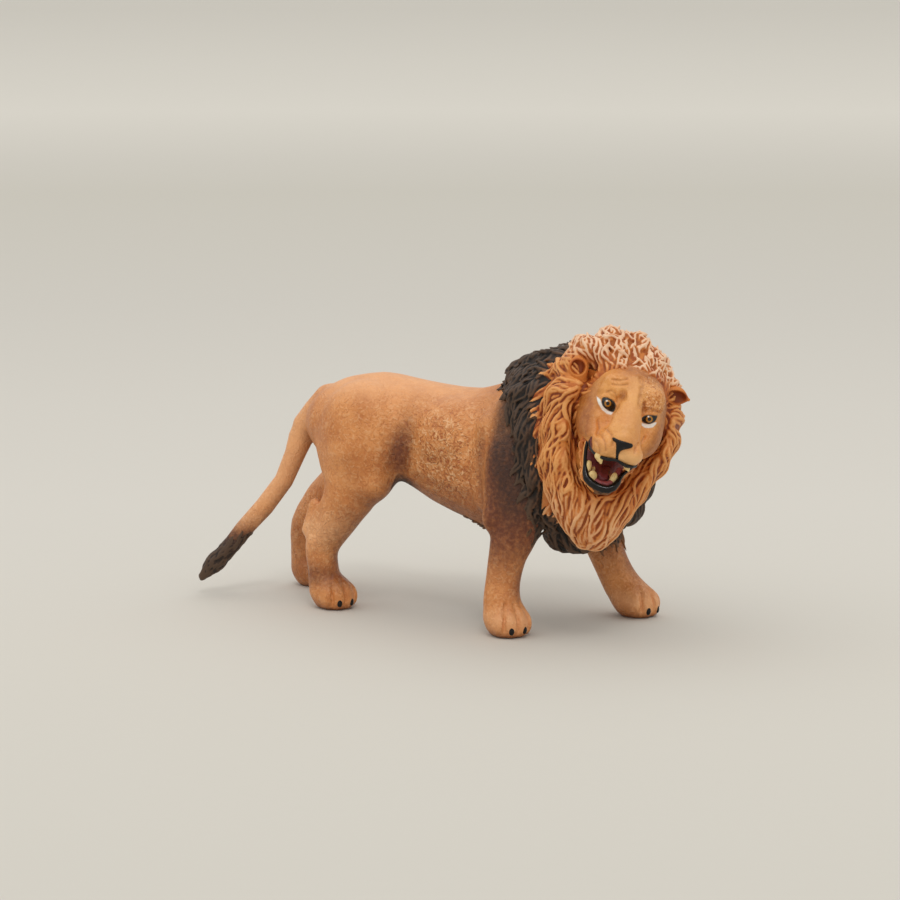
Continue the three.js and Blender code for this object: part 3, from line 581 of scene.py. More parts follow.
SKIN = skin_paint("tan_skin")
FACE = skin_paint("face_skin", "e8a052", "da8c42", face=True)
GOLD_HAIR = hair_paint("gold_mane", "80350b", "b65b1a", "d5823a", "f0ae68", "f3cdaa")
DARK_HAIR = hair_paint("dark_mane", "0e0906", "20140d", "35241a", "5c4635", "8a5a33")
BLACK_GLOSS = gloss_paint("black_gloss", "0f0c0b", "2a2320")
IVORY = gloss_paint("ivory_enamel", "f0d190", "cda265", 0.22)
MAROON = gloss_paint("maroon_mouth", "7a3538", "521f22", 0.18)
GUM = gloss_paint("pink_gum", "9c4c4c", "70292c", 0.18)
EYE = eye_paint()


# Skin: trunk, legs and tail

SKIN_NODES = ["torso", "right_foreleg", "left_foreleg", "right_hindleg", "left_hindleg", "tail"]
SKIN_STEP = 0.3

# The tail's middle line with its radius, from the rump to where the tuft hides it
TAIL_LINE = [
    (-22.5, 0.0, 38.4, 3.2),
    (-24.8, 0.0, 35.6, 3.4),
    (-27.3, 0.0, 33.2, 3.0),
    (-28.6, -0.6, 31.0, 2.4),
    (-29.5, -1.4, 27.8, 2.0),
    (-31.3, -2.6, 22.7, 1.8),
    (-34.9, -4.0, 17.5, 1.85),
    (-38.8, -5.5, 12.9, 1.72),
    (-41.2, -6.6, 9.5, 1.6),
]

# The four toes: turn from the paw's heading in degrees, reach of the tip and height of the knuckle
TOES = [(-54, 2.5, 4.5), (-18, 3.0, 5.0), (18, 3.0, 5.0), (54, 2.5, 4.5)]


def add_paw(clay, place, heading):
    """A broad paw with four tall rounded toes that point along a heading, and grooves between."""
    x, y = place
    clay.add(ball((x - 0.2, y, 2.8), (3.9, 3.8, 3.3)), 1.2)
    turns = [math.radians(heading + turn) for turn, _, _ in TOES]
    for turn, (_, reach, height) in zip(turns, TOES):
        ahead = np.array([math.cos(turn), math.sin(turn)])
        wrist = (x + ahead[0] * 0.6, y + ahead[1] * 0.6, height + 0.3, 1.3)
        knuckle = (x + ahead[0] * (reach - 0.55), y + ahead[1] * (reach - 0.55), height - 1.0, 1.5)
        tip = (x + ahead[0] * reach, y + ahead[1] * reach, 1.6, 1.5)
        clay.add(limb(wrist, knuckle, tip), 0.3)
    for first, second in zip(turns[:-1], turns[1:]):
        turn = (first + second) / 2
        ahead = np.array([math.cos(turn), math.sin(turn)])
        rows = ((2.3, 6.4, 0.12), (3.6, 4.7, 0.26), (4.25, 2.6, 0.3), (4.3, 0.2, 0.3))
        clay.cut(limb(*[(x + ahead[0] * out, y + ahead[1] * out, up, r) for out, up, r in rows]), 0.4)


def shape_body():
    """The whole skin as one piece of clay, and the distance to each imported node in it."""
    clay = Clay((-50, -27, -1.5), (48, 20, 51), SKIN_STEP)
    owners = []
    for name in SKIN_NODES:
        own = clay.solid(*node_mesh(name))
        owners.append(own)
        if name != "tail":
            clay.field = smooth_join(clay.field, own, 2.4)
    clay.soften(9)
    flank = ((0.6, 12.6, 37.5, 1.0), (-1.0, 12.4, 31.6, 1.5), (-2.6, 11.6, 26.5, 1.4))
    for side in SIDE.values():
        # flank hollow and shoulder blade
        clay.cut(limb(*[(x, side * y, z, radius) for x, y, z, radius in flank]), 3.2)
        clay.add(ball((23.6, side * 8.6, 35.3), (6.6, 5.3, 9.0)), 2.5)
    # right thigh, stifle and calf
    clay.add(ball((-11.2, -7.0, 32.4), (8.0, 5.9, 10.6)), 2.5)
    clay.add(limb((-11.2, -8.2, 30, 5.0), (-8.4, -8.8, 25.0, 3.4)), 2.4)
    clay.add(limb((-21.4, -7.6, 19.5, 1.2), (-22.6, -7.5, 14.6, 1.6)), 1.2)
    clay.cut(limb((-19.0, -11.6, 18.6, 0.5), (-20.3, -11.3, 14.5, 0.5)), 1.4)
    # left thigh, further back
    clay.add(ball((-16.0, 6.9, 32.0), (8.4, 6.0, 10.2)), 2.5)
    clay.add(limb((-18, 8.4, 29, 4.2), (-23.5, 9.6, 23.0, 3.0), (-29.5, 10.2, 18.4, 2.2)), 2.8)
    # right upper arm and elbow, with the crease behind them
    clay.add(ball((22.3, -12.6, 28.5), (4.6, 3.8, 8.0)), 2.0)
    clay.add(ball((20.2, -14.4, 21.4), (2.0, 2.6, 2.8)), 1.4)
    clay.add(limb((17.4, -10.4, 37, 2.6), (17.2, -10.2, 30, 2.6), (17.0, -9.8, 23.5, 2.2)), 2.0)
    clay.cut(limb((16.6, -15.2, 36.5, 0.8), (16.0, -15.0, 29, 0.9), (15.6, -14.5, 22.5, 0.8)), 2.4)
    clay.cut(limb((24.3, -19.4, 16.5, 0.4), (23.6, -19.3, 9.0, 0.4)), 1.6)
    # left upper arm
    clay.add(ball((26.5, 11.6, 28.5), (4.8, 4.0, 8.0)), 2.0)
    clay.cut(limb((31.4, 8.9, 14.0, 0.3), (34.4, 8.3, 7.0, 0.3)), 1.2)
    for place, heading in PAWS.values():
        add_paw(clay, place, heading)
    clay.add(limb(*TAIL_LINE), 0.9)
    floor = np.arange(clay.field.shape[2]) + clay.first[2]
    clay.field = np.maximum(clay.field, -(floor * clay.step).astype(np.float32))
    return clay, owners


def belly_line(x):
    """How high the trunk's underside is, along its middle."""
    cells, (along, _, up) = BODY.window((-6, -4, 8), (24, 4, 40), 0)
    solid = (BODY.field[cells] < 0).any(axis=1)
    return np.interp(x, along.ravel(), up.ravel()[solid.argmax(axis=1)])


def airbrush_light_and_shade(points, normals):
    """How dark, how brown, how pale and how pebbled the skin is at each point: paint, with painted light
    and shade.
    """
    x, y, z = points.T
    flank = np.abs(y) > 5
    # umber fades in towards the mane, and darkens the groin, the belly and the tail's end
    start = 17.0 - 1.0 * step_up(z, 44, 47)
    fade = 4.8 + 3.6 * step_up(-z, -34, -24)
    fringe = np.clip((x + 2) / 6, 0, 1) * np.clip(1 - (z - belly_line(x)) / 2.0, 0, 1)
    shade = np.maximum.reduce([
        0.74 * step_up((x - start) / fade, 0.0, 1.0) * step_up(z, 14, 27),
        0.9 * bell((x + 3.2) / 3.4, (z - 24.4) / 2.4) * (np.abs(y) < 8),
        0.8 * fringe * (np.abs(y) < 9) * (x < 24),
        np.clip((14.5 - z) / 4.5, 0, 1) * (x < -36) * (y < -2),
    ])
    # brown: painted shade in the flank hollow, behind the elbow, on undersides, on leg sides turned from
    # the light, low on the hind legs and in the mane's shadow on the back; brown paint and painted shade
    # on the upper arm and the far hind leg; darker low on the tail
    hollow = bell((x + 1.4 + (33 - z) * 0.2) / 3.0, (z - 31.0) / 7.5)
    crease = bell((x - 17.0) / 2.0) * step_up(z, 18, 24) * (1 - step_up(z, 34, 40))
    # leg sides turned towards (0.88, 0.47), away from the light, get painted shade
    ahead = np.clip(normals[:, 0] * 0.88 + normals[:, 1] * 0.47 + 0.15, 0, 1)
    arm = step_up(x, 16, 21) * step_up(z, 4, 20) * (1 - step_up(z, 32, 42))
    far_leg = step_up(-z, -24, -6) * (x < 0) * (y > 3)
    # the mane's painted shadow on the back behind it
    mane_shadow_on_back = step_up(x, 8, 17) * step_up(z, 34, 40)
    rust = np.maximum.reduce([
        0.95 * hollow * flank,
        0.6 * crease * flank,
        0.75 * np.clip((18.0 - z) / 6, 0, 1) * (x < -33) * (y < -2),
        0.8 * np.clip(0.12 - normals[:, 2], 0, 1),
        0.66 * ahead * (1 - step_up(z, 26, 38)) * step_up(x, -30, -22) * step_up(z, 3, 9),
        0.95 * arm,
        0.47 * far_leg,
        0.7 * bell((z - 6.5) / 3.0) * (x > -28) * (x < 0),
        0.35 * mane_shadow_on_back,
    ])
    # paler as painted light where the light falls: the rump's top, the paws' tops, the tail and the hock
    paw = np.clip((6.0 - z) / 3, 0, 1) * np.clip(normals[:, 2] + 0.6, 0, 1)
    pale = np.maximum.reduce([
        0.45 * step_up(z, 39.0, 43.5) * (1 - step_up(x, 6, 16)),
        0.6 * paw * (x > 0),
        0.5 * step_up(-x, 24, 28) * step_up(z, 14, 20) * (y < 2),
        0.5 * bell((z - 15) / 3.5) * (x < 0) * (y < 0),
    ])
    ribs = bell((x - 8) / 8.5, (z - 31) / 8.0) * flank
    hock = bell((z - 14) / 5.0) * (x < 0)
    pebbled = np.clip(0.22 + 0.9 * ribs + 0.3 * hock, 0, 1) * (1 - 0.8 * step_up(z, 39.5, 43))
    return {"shade": shade, "rust": rust, "pale": pale, "pebbled": pebbled}


def make_skin(clay, owners):
    points, quads = clay.skin()
    middles = points[quads].mean(1)
    nearest = np.argmin([clay.at(middles, own) for own in owners], axis=0)
    looks = {node + "_skin": (SKIN, [node], "body_paint") for node in SKIN_NODES}
    marks = airbrush_light_and_shade(points, facing(points, quads))
    cut_pieces(points, quads, np.array(list(looks))[nearest], marks, looks, 0.8)


BODY, BODY_OWNERS = shape_body()
make_skin(BODY, BODY_OWNERS)


def skin_under(other):
    """The skin's distances on the grid of another block of the same step."""
    field = np.full(other.field.shape, Clay.REACH, np.float32)
    start = other.first - BODY.first
    stop = np.minimum(start + other.field.shape, BODY.field.shape)
    inside = tuple(slice(a, b) for a, b in zip(np.maximum(start, 0), stop))
    where = tuple(slice(a, b) for a, b in zip(np.maximum(-start, 0), stop - start))
    field[where] = BODY.field[inside]
    return field


# Head, jaw and mouth

HEAD_STEP = 0.15

# Lines of the painted face as rows of forward, left and up, traced from the lion's right
# corner of the mouth round to its left one
UPPER_LIP = [
    (8.4, -4.95, -4.2), (8.8, -4.8, -5.1), (9.6, -4.45, -6.1), (10.8, -3.9, -6.6),
    (11.8, -3.15, -6.9), (12.8, -2.3, -6.95), (13.5, -1.4, -6.85), (14.0, -0.45, -6.65),
    (14.2, 0.0, -6.6), (14.1, 0.6, -6.75), (13.4, 1.85, -7.0), (12.6, 2.95, -6.8),
    (11.6, 3.6, -6.6), (10.4, 3.9, -6.4), (9.0, 4.1, -6.1),
]
LOWER_LIP = [
    (8.4, -4.95, -4.4), (8.0, -5.1, -5.4), (7.9, -4.95, -6.6), (8.0, -4.65, -7.9),
    (8.2, -4.25, -9.2), (8.5, -3.85, -10.4), (8.9, -3.3, -11.3), (9.4, -2.35, -11.85),
    (9.9, -1.3, -12.1), (10.2, -0.25, -12.15), (10.3, 0.65, -11.95), (10.2, 1.4, -11.35),
    (9.8, 1.9, -10.45), (9.3, 2.15, -9.55), (8.9, 2.5, -8.7), (8.6, 3.05, -7.9),
    (8.4, 3.6, -7.1), (8.6, 4.0, -6.4), (9.0, 4.1, -6.1),
]
NOSE = [
    (-2.1, -3.05), (-1.5, -3.1), (-0.3, -3.15), (0.7, -3.1), (1.5, -3.1), (1.75, -3.4),
    (1.45, -3.75), (0.95, -4.1), (0.4, -4.5), (0.0, -4.9), (-0.1, -5.5), (0.1, -6.3),
    (0.05, -6.7), (-0.35, -6.7), (-0.45, -6.2), (-0.6, -5.6), (-0.85, -4.9), (-1.1, -4.2),
    (-1.25, -3.7), (-1.75, -3.45),
]
# Rows of left and up: the black round each eye, and the white under it
EYES = {
    "right": (
        [(-5.2, 2.8), (-4.95, 3.1), (-4.3, 3.25), (-3.55, 3.15), (-2.9, 2.9), (-2.5, 2.4),
         (-2.35, 1.75), (-2.45, 1.2), (-2.8, 1.0), (-3.4, 1.1), (-4.05, 1.25), (-4.7, 1.6), (-5.1, 2.1)],
        [(-5.95, 2.8), (-5.75, 2.15), (-5.4, 1.65), (-4.55, 0.9), (-3.5, 0.5), (-2.75, 0.55),
         (-2.55, 1.05), (-3.35, 1.1), (-4.0, 1.25), (-4.65, 1.6), (-5.05, 2.05), (-5.4, 2.5)],
        (-4.0, 2.25),
    ),
    "left": (
        [(2.5, 1.35), (2.6, 1.9), (2.95, 2.35), (3.6, 2.65), (4.4, 2.85), (5.15, 3.0),
         (5.2, 2.65), (5.1, 2.1), (4.9, 1.7), (4.4, 1.3), (3.8, 1.05), (3.1, 1.0)],
        [(2.7, 0.95), (3.05, 0.45), (3.65, 0.3), (4.35, 0.45), (5.0, 0.8), (5.35, 1.4),
         (5.4, 1.85), (4.9, 1.65), (4.4, 1.25), (3.8, 1.0), (3.1, 0.95)],
        (3.85, 1.95),
    ),
}


def outline_gap(outline, left, up):
    """Distance to a closed outline seen from the front, less than nothing inside it."""
    outline = np.asarray(outline, float)
    gap = np.full(np.broadcast(left, up).shape, 1e3)
    inside = np.zeros(gap.shape, bool)
    for (l0, u0), (l1, u1) in zip(outline, np.roll(outline, -1, axis=0)):
        run, rise = l1 - l0, u1 - u0
        share = np.clip(((left - l0) * run + (up - u0) * rise) / (run * run + rise * rise), 0, 1)
        gap = np.minimum(gap, np.hypot(left - l0 - share * run, up - u0 - share * rise))
        if rise:
            crosses = ((u0 > up) != (u1 > up)) & (left < l0 + run * (up - u0) / rise)
            inside ^= crosses
    return np.where(inside, -gap, gap)


MOUTH = [row[1:] for row in UPPER_LIP] + [row[1:] for row in LOWER_LIP[-2:0:-1]]


def prism(outline, back, front):
    """Everything inside an outline seen from the front, from one depth to another."""
    outline = np.asarray(outline, float)
    low = (back, *outline.min(0))
    high = (front, *outline.max(0))

    def distance(x, y, z):
        return np.maximum(np.maximum(outline_gap(outline, y, z), back - x), x - front)

    return np.array(low, float), np.array(high, float), distance


def on_head(shape):
    """A shape of the head's frame in the lion's frame."""
    low, high, distance = shape
    corners = to_lion(np.array(np.meshgrid(*zip(low, high))).reshape(3, -1).T)

    def turned(x, y, z):
        offset = [x - HEAD_MIDDLE[0], y - HEAD_MIDDLE[1], z - HEAD_MIDDLE[2]]
        return distance(*[sum(HEAD_TURN[i, j] * offset[i] for i in range(3)) for j in range(3)])

    return corners.min(0), corners.max(0), turned


# Rows of left and up on the face: the upper lids, the folds of brow, forehead and muzzle, and
# the pits beside the forehead's crest
LIDS = [
    [(-5.3, 2.9), (-4.95, 3.35), (-4.3, 3.5), (-3.5, 3.4), (-2.8, 3.1), (-2.3, 2.4)],
    [(2.4, 1.5), (2.6, 2.15), (3.0, 2.6), (3.7, 2.9), (4.5, 3.1), (5.4, 3.3)],
]
FOLDS = [
    [(-4.7, 4.1), (-4.15, 4.6), (-3.4, 4.4), (-2.8, 3.8), (-2.5, 3.0)],
    [(-2.6, 4.9), (-2.45, 4.3), (-2.2, 3.6)],
    [(-2.15, 5.1), (-2.0, 4.5), (-1.85, 3.7)],
    [(-1.7, 5.0), (-1.6, 4.5), (-1.55, 3.9)],
    [(-4.5, 6.5), (-3.1, 6.8), (-1.9, 7.4)],
    [(-4.3, 5.7), (-3.0, 5.95), (-1.7, 6.5)],
    [(2.1, 4.3), (2.1, 3.6), (2.35, 2.8)],
    [(2.6, 3.0), (3.0, 3.5), (3.5, 3.8), (3.7, 4.5)],
    [(3.9, 3.5), (4.6, 3.7), (5.4, 3.6)],
    [(-3.2, -2.1), (-2.3, -2.7), (-1.75, -3.6), (-1.7, -4.4)],
    [(-4.0, -3.1), (-3.0, -4.3), (-2.5, -5.6)],
    [(-4.5, -4.5), (-3.6, -5.5), (-3.2, -6.4)],
    [(2.7, -2.6), (2.3, -3.6), (2.4, -4.5)],
    [(-4.7, -1.0), (-4.0, -2.3), (-4.3, -3.6)],
    [(4.0, -1.2), (3.7, -2.4), (4.0, -3.6)],
]
PITS = [
    [(0.15, 8.2), (0.5, 7.5)],
    [(0.7, 6.7), (0.85, 6.2)],
    [(0.9, 5.4), (0.95, 4.6)],
    [(1.0, 3.9), (1.3, 3.2)],
]


def on_skin(clay, places, radius, proud):
    """A bar along places of left and up, laid on the clay's skin and proud of it."""
    places = np.asarray(places, float)
    stops = np.linspace(0, len(places) - 1, 4 * (len(places) - 1) + 1)
    line = [np.interp(stops, range(len(places)), places[:, k]) for k in range(2)]
    return limb(*[(seen_depth(clay, l, u, 16) + proud, l, u, radius) for l, u in zip(*line)])


def shape_head():
    """The upper head in its own frame, with the mouth cut out of it."""
    clay = Clay((-6, -10.5, -10), (16.5, 10.5, 12), HEAD_STEP)
    for shape, blend in (
        (ball((-0.5, 0, 1.0), (8.4, 8.3, 8.6)), 0.0),
        (ball((3.2, 0.1, 4.6), (4.6, 6.2, 5.6)), 2.0),
        (ball((4.6, 0, 0.0), (4.2, 6.5, 6.4)), 2.5),
        # nose bridge, broad and nearly flat
        (
            limb((6.6, 0, 5.6, 1.6), (8.4, 0, 3.6, 2.0), (10.1, 0, 1.0, 2.3), (11.9, 0, -1.2, 2.1),
                 (13.0, 0, -2.6, 1.5)),
            1.4,
        ),
        (limb((7.4, -1.3, 3.8, 0.9), (9.6, -1.6, 0.8, 1.1), (11.6, -1.4, -1.6, 1.0)), 0.9),
        (limb((7.4, 1.3, 3.8, 0.9), (9.6, 1.6, 0.8, 1.1), (11.6, 1.4, -1.6, 1.0)), 0.9),
        # muzzle and its two pads
        (ball((10.2, -0.1, -3.6), (3.9, 3.9, 2.9)), 1.6),
        (ball((11.8, -2.25, -4.9), (2.5, 2.45, 1.95)), 0.9),
        (ball((11.9, 2.05, -4.95), (2.45, 2.3, 1.95)), 0.7),
        (limb((10.4, -3.9, -5.2, 1.0), (8.0, -4.5, -3.6, 1.2)), 1.2),
        # cheeks
        (ball((4.8, -4.6, -2.2), (3.6, 2.3, 3.4)), 2.2),
        (ball((5.0, 4.4, -1.6), (3.8, 2.8, 3.4)), 2.2),
        # brows and the crest up the middle of the forehead
        (limb((8.4, -1.9, 4.2, 0.75), (8.1, -3.4, 4.45, 0.8), (6.9, -5.2, 4.3, 0.7)), 1.2),
        (limb((8.4, 1.9, 3.5, 0.8), (8.1, 3.5, 4.0, 0.8), (6.9, 5.3, 4.2, 0.7)), 1.2),
        (
            limb((6.5, -0.2, 8.4, 0.3), (8.0, 0.35, 6.4, 0.38), (8.9, 0.5, 4.6, 0.36),
                 (9.6, 0.5, 3.0, 0.2)),
            0.9,
        ),
        (ball((6.4, -3.0, 6.2), (2.2, 2.6, 1.6)), 1.4),
        (ball((6.4, 3.3, 5.9), (2.2, 2.5, 1.6)), 1.4),
    ):
        clay.add(shape, blend)
    # hollows beside the bridge, under the brows and along the cheek
    for shape, blend in (
        (ball((8.9, -4.0, 1.9), (1.2, 1.9, 1.2)), 1.3),
        (ball((8.9, 3.9, 1.7), (1.2, 1.9, 1.2)), 1.3),
        (limb((9.4, -3.6, -0.4, 0.6), (10.4, -4.3, -2.0, 0.6)), 1.5),
        (limb((9.4, 3.8, -0.6, 0.6), (10.6, 4.5, -2.2, 0.6)), 1.5),
        (limb((9.1, -1.8, 4.7, 0.2), (9.0, -2.3, 3.3, 0.3)), 0.7),
        (limb((9.0, 2.0, 4.3, 0.2), (9.3, 2.3, 3.0, 0.3)), 0.7),
        (limb((8.2, -4.4, 6.2, 0.12), (8.6, -2.0, 6.7, 0.14)), 0.5),
        (limb((7.6, -4.2, 7.2, 0.12), (8.1, -1.9, 7.6, 0.12)), 0.5),
    ):
        clay.cut(shape, blend)
    for _, _, (left, up) in EYES.values():
        clay.add(ball((7.1, left, up), (1.55, 1.75, 1.5)), 0.7)
    for lid in LIDS:
        clay.add(on_skin(clay, lid, 0.24, -0.02), 0.15)
    for fold in FOLDS:
        clay.cut(on_skin(clay, fold, 0.26, 0.03), 0.25)
    for pit in PITS:
        clay.cut(on_skin(clay, pit, 0.3, 0.05), 0.25)
    clay.cut(prism(MOUTH, 3.2, 18), 0.7)
    # pads rolled under to the lip
    clay.add(limb(*[(f - 0.9, l * 0.96, u + 0.55, 0.62) for f, l, u in UPPER_LIP]), 0.7)
    clay.soften(1)
    return clay


def shape_jaw():
    """The lower jaw: a rim under the lip, a chin and the floor of the mouth."""
    clay = Clay((-3, -8.5, -15.5), (13, 8.5, -3), HEAD_STEP)
    middle = np.array([0.0, -0.9, -8.6])
    rim = []
    for f, l, u in LOWER_LIP[1:-1]:
        away = unit(np.array([0.0, l, u]) - middle)
        rim.append((f - 0.5, l + away[1] * 0.04, u + away[2] * 0.04, 0.46))
    clay.add(limb(*rim), 0)
    back = [(f - 2.6, l * 0.9, u * 0.93, 0.8) for f, l, u, _ in rim]
    clay.add(limb(*back), 1.8)
    clay.add(limb((8.0, -0.3, -11.6, 1.0), (4.0, -0.4, -11.2, 2.2), (0, -0.3, -9.2, 3.4)), 1.6)
    clay.add(ball((0.4, -0.3, -7.6), (3.2, 5.2, 4.2)), 1.5)
    clay.cut(prism(MOUTH, 4.0, 18), 0.5)
    clay.soften(1)
    return clay


def seen_depth(clay, left, up, start):
    """How far forward the clay's skin is behind a place seen from the front."""
    stop = start - 9
    steps = np.arange(start, stop, -0.05)
    spots = np.array([(f, left, up) for f in steps])
    inside = np.nonzero(clay.at(spots) < 0)[0]
    return steps[inside[0]] if len(inside) else stop


def face_marks(points, normals):
    """Paint on the face at each of its points: forward, left and up."""
    f, l, u = points.T
    front = normals[:, 0] > -0.2
    by_eyes = front & (f > 5)
    black = np.zeros(len(points))
    white = np.zeros(len(points))
    for almond, crescent, _ in EYES.values():
        black = np.maximum(black, by_eyes * np.clip(0.5 - outline_gap(almond, l, u) / 0.12, 0, 1))
        white = np.maximum(white, by_eyes * np.clip(0.5 - outline_gap(crescent, l, u) / 0.12, 0, 1))
    mouth = np.clip(0.5 - (outline_gap(MOUTH, l, u) - 0.1) / 0.2, 0, 1) * (f < 14.4)
    # brown paint and painted shade beside the bridge under the brows; painted shade up the forehead, at
    # the temples where the face meets the mane, and in the folds and pits
    temples = np.clip((np.abs(l + 0.1) - 4.3 - 0.12 * np.clip(u, -6, 4)) / 2.0, 0, 1)
    rust = np.maximum.reduce([
        0.7 * bell((l + 1.95) / 0.8, (u - 4.35) / 0.9),
        0.65 * bell((l - 2.1) / 0.6, (u - 3.5) / 1.0),
        0.6 * np.clip((u - 6.8) / 2.2, 0, 1),
        0.45 * bell((l - 0.9) / 0.4) * step_up(u, 2.8, 4.4),
        0.66 * temples * (1 - 0.8 * step_up(-u, 4, 5.5)),
    ])
    for fold in FOLDS + PITS:
        gap = np.abs(outline_gap(fold + fold[-2:0:-1], l, u))
        rust = np.maximum(rust, 0.5 * bell(gap / 0.2) * front)
    pads = np.clip((f - 9.4) / 2.5, 0, 1) * np.clip((-3.6 - u) / 1.6, 0, 1)
    pale = pads * (0.35 + 0.5 * step_up(l, -1, 1))
    pale = np.maximum(pale, 0.35 * bell(l / 2.2) * (f > 7))
    curls = step_up(l, 0.6, 1.6) * step_up(u, 2.8, 4.0) * (f > 3)
    return {
        "shade": np.clip((-1.5 - f) / 4, 0, 0.5),
        "rust": rust,
        "pale": pale,
        "pebbled": 0.12 + 0.75 * curls,
        "black": black,
        "white": white,
        "mouth": mouth,
    }


def bead(name, centre, radii, turn, material, rings):
    """A ball pressed to a shape and set in place in the lion's frame."""
    bpy.ops.mesh.primitive_uv_sphere_add(segments=2 * rings, ring_count=rings, radius=MM)
    made = bpy.context.active_object
    made.name = name
    size = Matrix.Diagonal((*radii, 1))
    made.matrix_world = Matrix.Translation(to_part(centre)) @ Matrix(turn).to_4x4() @ size
    bpy.ops.object.transform_apply(location=True, rotation=True, scale=True)
    bpy.ops.object.shade_smooth()
    made.data.materials.append(material)
    made.select_set(False)
    return made


def head_piece(name, clay, material, marks=None, **kept):
    """A piece made of clay that was shaped in the head's frame."""
    points, quads = clay.skin()
    normals = facing(points, quads)
    values = marks(points, normals) if marks else {}
    return piece(name, to_lion(points), quads, material, marks=values, **kept)


def make_eye(side, clay):
    """An eyeball under its lids, with the iris painted in rings about its middle."""
    _, _, (left, up) = EYES[side]
    depth = seen_depth(clay, left, up, 12)
    radius = 1.12
    centre = np.array([depth - radius + 0.2, left, up])
    turn = HEAD_TURN @ np.array(Matrix.Rotation(math.radians(90), 3, "Y"))
    made = bead(side + "_eyeball", to_lion(centre), (radius,) * 3, turn, EYE, 24)
    points = np.array([v.co for v in made.data.vertices]) / MM - SHIFT
    spots = to_head(points) - centre
    ring = np.hypot(spots[:, 1], spots[:, 2]) / radius
    ring = np.where(spots[:, 0] > 0, ring, 1.0)
    glint = np.hypot(spots[:, 1] + 0.32, spots[:, 2] - 0.38) / 0.16
    set_mark(made.data, "ring", ring)
    set_mark(made.data, "glint", np.clip(1.3 - glint, 0, 1) * (spots[:, 0] > 0))
    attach(made, "root")
    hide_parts(side + "_eye")


def make_nose(clay):
    """The nose leather: a coat over the muzzle's skin, two wings and a groove."""
    nose = Clay((9, -3.5, -8), (16, 3.5, -1.5), 0.12)
    _, spots = nose.window(*nose.corners(), 0)
    places = np.stack([s.ravel() for s in np.broadcast_arrays(*spots)], axis=1)
    skin = clay.at(places).reshape(nose.field.shape)
    outline = outline_gap(NOSE, spots[1], spots[2])
    nose.field = np.maximum(np.maximum(skin - 0.2, outline), 12.0 - spots[0]).astype(np.float32)
    nose.add(ball((13.75, 0.1, -3.55), (0.95, 1.3, 0.6)), 0.5)
    nose.add(ball((13.5, -1.35, -3.3), (0.7, 0.65, 0.32)), 0.4)
    nose.add(ball((13.6, 1.2, -3.4), (0.7, 0.6, 0.42)), 0.4)
    nose.cut(limb((15.3, -0.2, -4.0, 0.12), (14.9, -0.25, -6.4, 0.14)), 0.35)
    nose.soften(2)
    head_piece("nose", nose, BLACK_GLOSS, nodes=["nose_pad"], slot="nose_paint")


def make_lips():
    """Black lip lines along both jaws, the lower one thicker at the chin."""
    lips = Clay((6, -7, -14), (16, 7, -3), 0.12)
    lips.add(limb(*[(f, l, u, 0.26 + 0.08 * min(1, abs(l) / 1.5)) for f, l, u in UPPER_LIP]), 0)
    head_piece("upper_lip", lips, BLACK_GLOSS, slot="nose_paint")
    lips = Clay((6, -7, -14), (16, 7, -3), 0.12)
    lips.add(limb(*[(f, l, u, 0.32 + 0.4 * step_up(-u, 8.5, 12)) for f, l, u in LOWER_LIP]), 0)
    head_piece("lower_lip", lips, BLACK_GLOSS, slot="nose_paint")


def make_tongue():
    """A furrowed tongue on the mouth's floor, and the gum that the lower teeth stand in."""
    tongue = Clay((0, -4.5, -13), (11, 4.5, -5), 0.15)
    tongue.add(limb((1, -0.6, -9.6, 2.2), (5.0, -0.6, -9.9, 1.9), (7.6, -0.6, -10.4, 1.3)), 0)
    tongue.cut(limb((2, -0.55, -7.6, 0.3), (6, -0.55, -8.2, 0.3), (8.6, -0.55, -9.6, 0.2)), 0.8)
    head_piece("tongue_skin", tongue, MAROON, nodes=["tongue"], slot="tongue_paint")
    gum = Clay((3, -5.5, -13), (11, 4.5, -6), 0.15)
    inner = [(f - 1.0, l * 0.82 - 0.15, u * 0.93 - 0.1, 0.55) for f, l, u in LOWER_LIP[4:-4]]
    gum.add(limb(*inner), 0)
    head_piece("lower_gum", gum, GUM, slot="tongue_paint")


def make_teeth():
    """Three tall lower teeth with a low row between them, and two upper fangs."""
    teeth = Clay((4, -5.5, -12.5), (11, 4.5, -7), 0.1)
    teeth.add(ball((7.9, -3.7, -9.5), (0.7, 0.72, 1.35)), 0)
    teeth.add(ball((8.7, -2.5, -10.7), (0.65, 0.85, 1.05)), 0.15)
    teeth.add(ball((6.8, -2.45, -9.7), (0.4, 0.42, 0.75)), 0.1)
    teeth.add(ball((9.1, 1.15, -10.1), (0.6, 0.66, 1.35)), 0)
    teeth.add(limb(*[(f - 0.9, l * 0.8, u * 0.93, 0.3) for f, l, u in LOWER_LIP[8:11]]), 0.2)
    head_piece("lower_tooth_row", teeth, IVORY, nodes=["lower_teeth"], slot="tooth_paint")
    teeth = Clay((9, -5, -9.5), (14, 5, -5), 0.1)
    teeth.add(limb((12.0, -3.1, -6.9, 0.7), (12.0, -2.7, -7.3, 0.6), (11.9, -2.3, -7.9, 0.25)), 0)
    teeth.add(limb((12.2, 2.1, -6.9, 0.65), (12.1, 2.4, -7.3, 0.5), (11.9, 2.75, -7.7, 0.2)), 0)
    teeth.add(limb((13.0, -1.6, -6.6, 0.35), (13.2, 0, -6.5, 0.35), (13.0, 1.6, -6.6, 0.35)), 0.2)
    head_piece("upper_tooth_row", teeth, IVORY, nodes=["upper_teeth"], slot="tooth_paint")


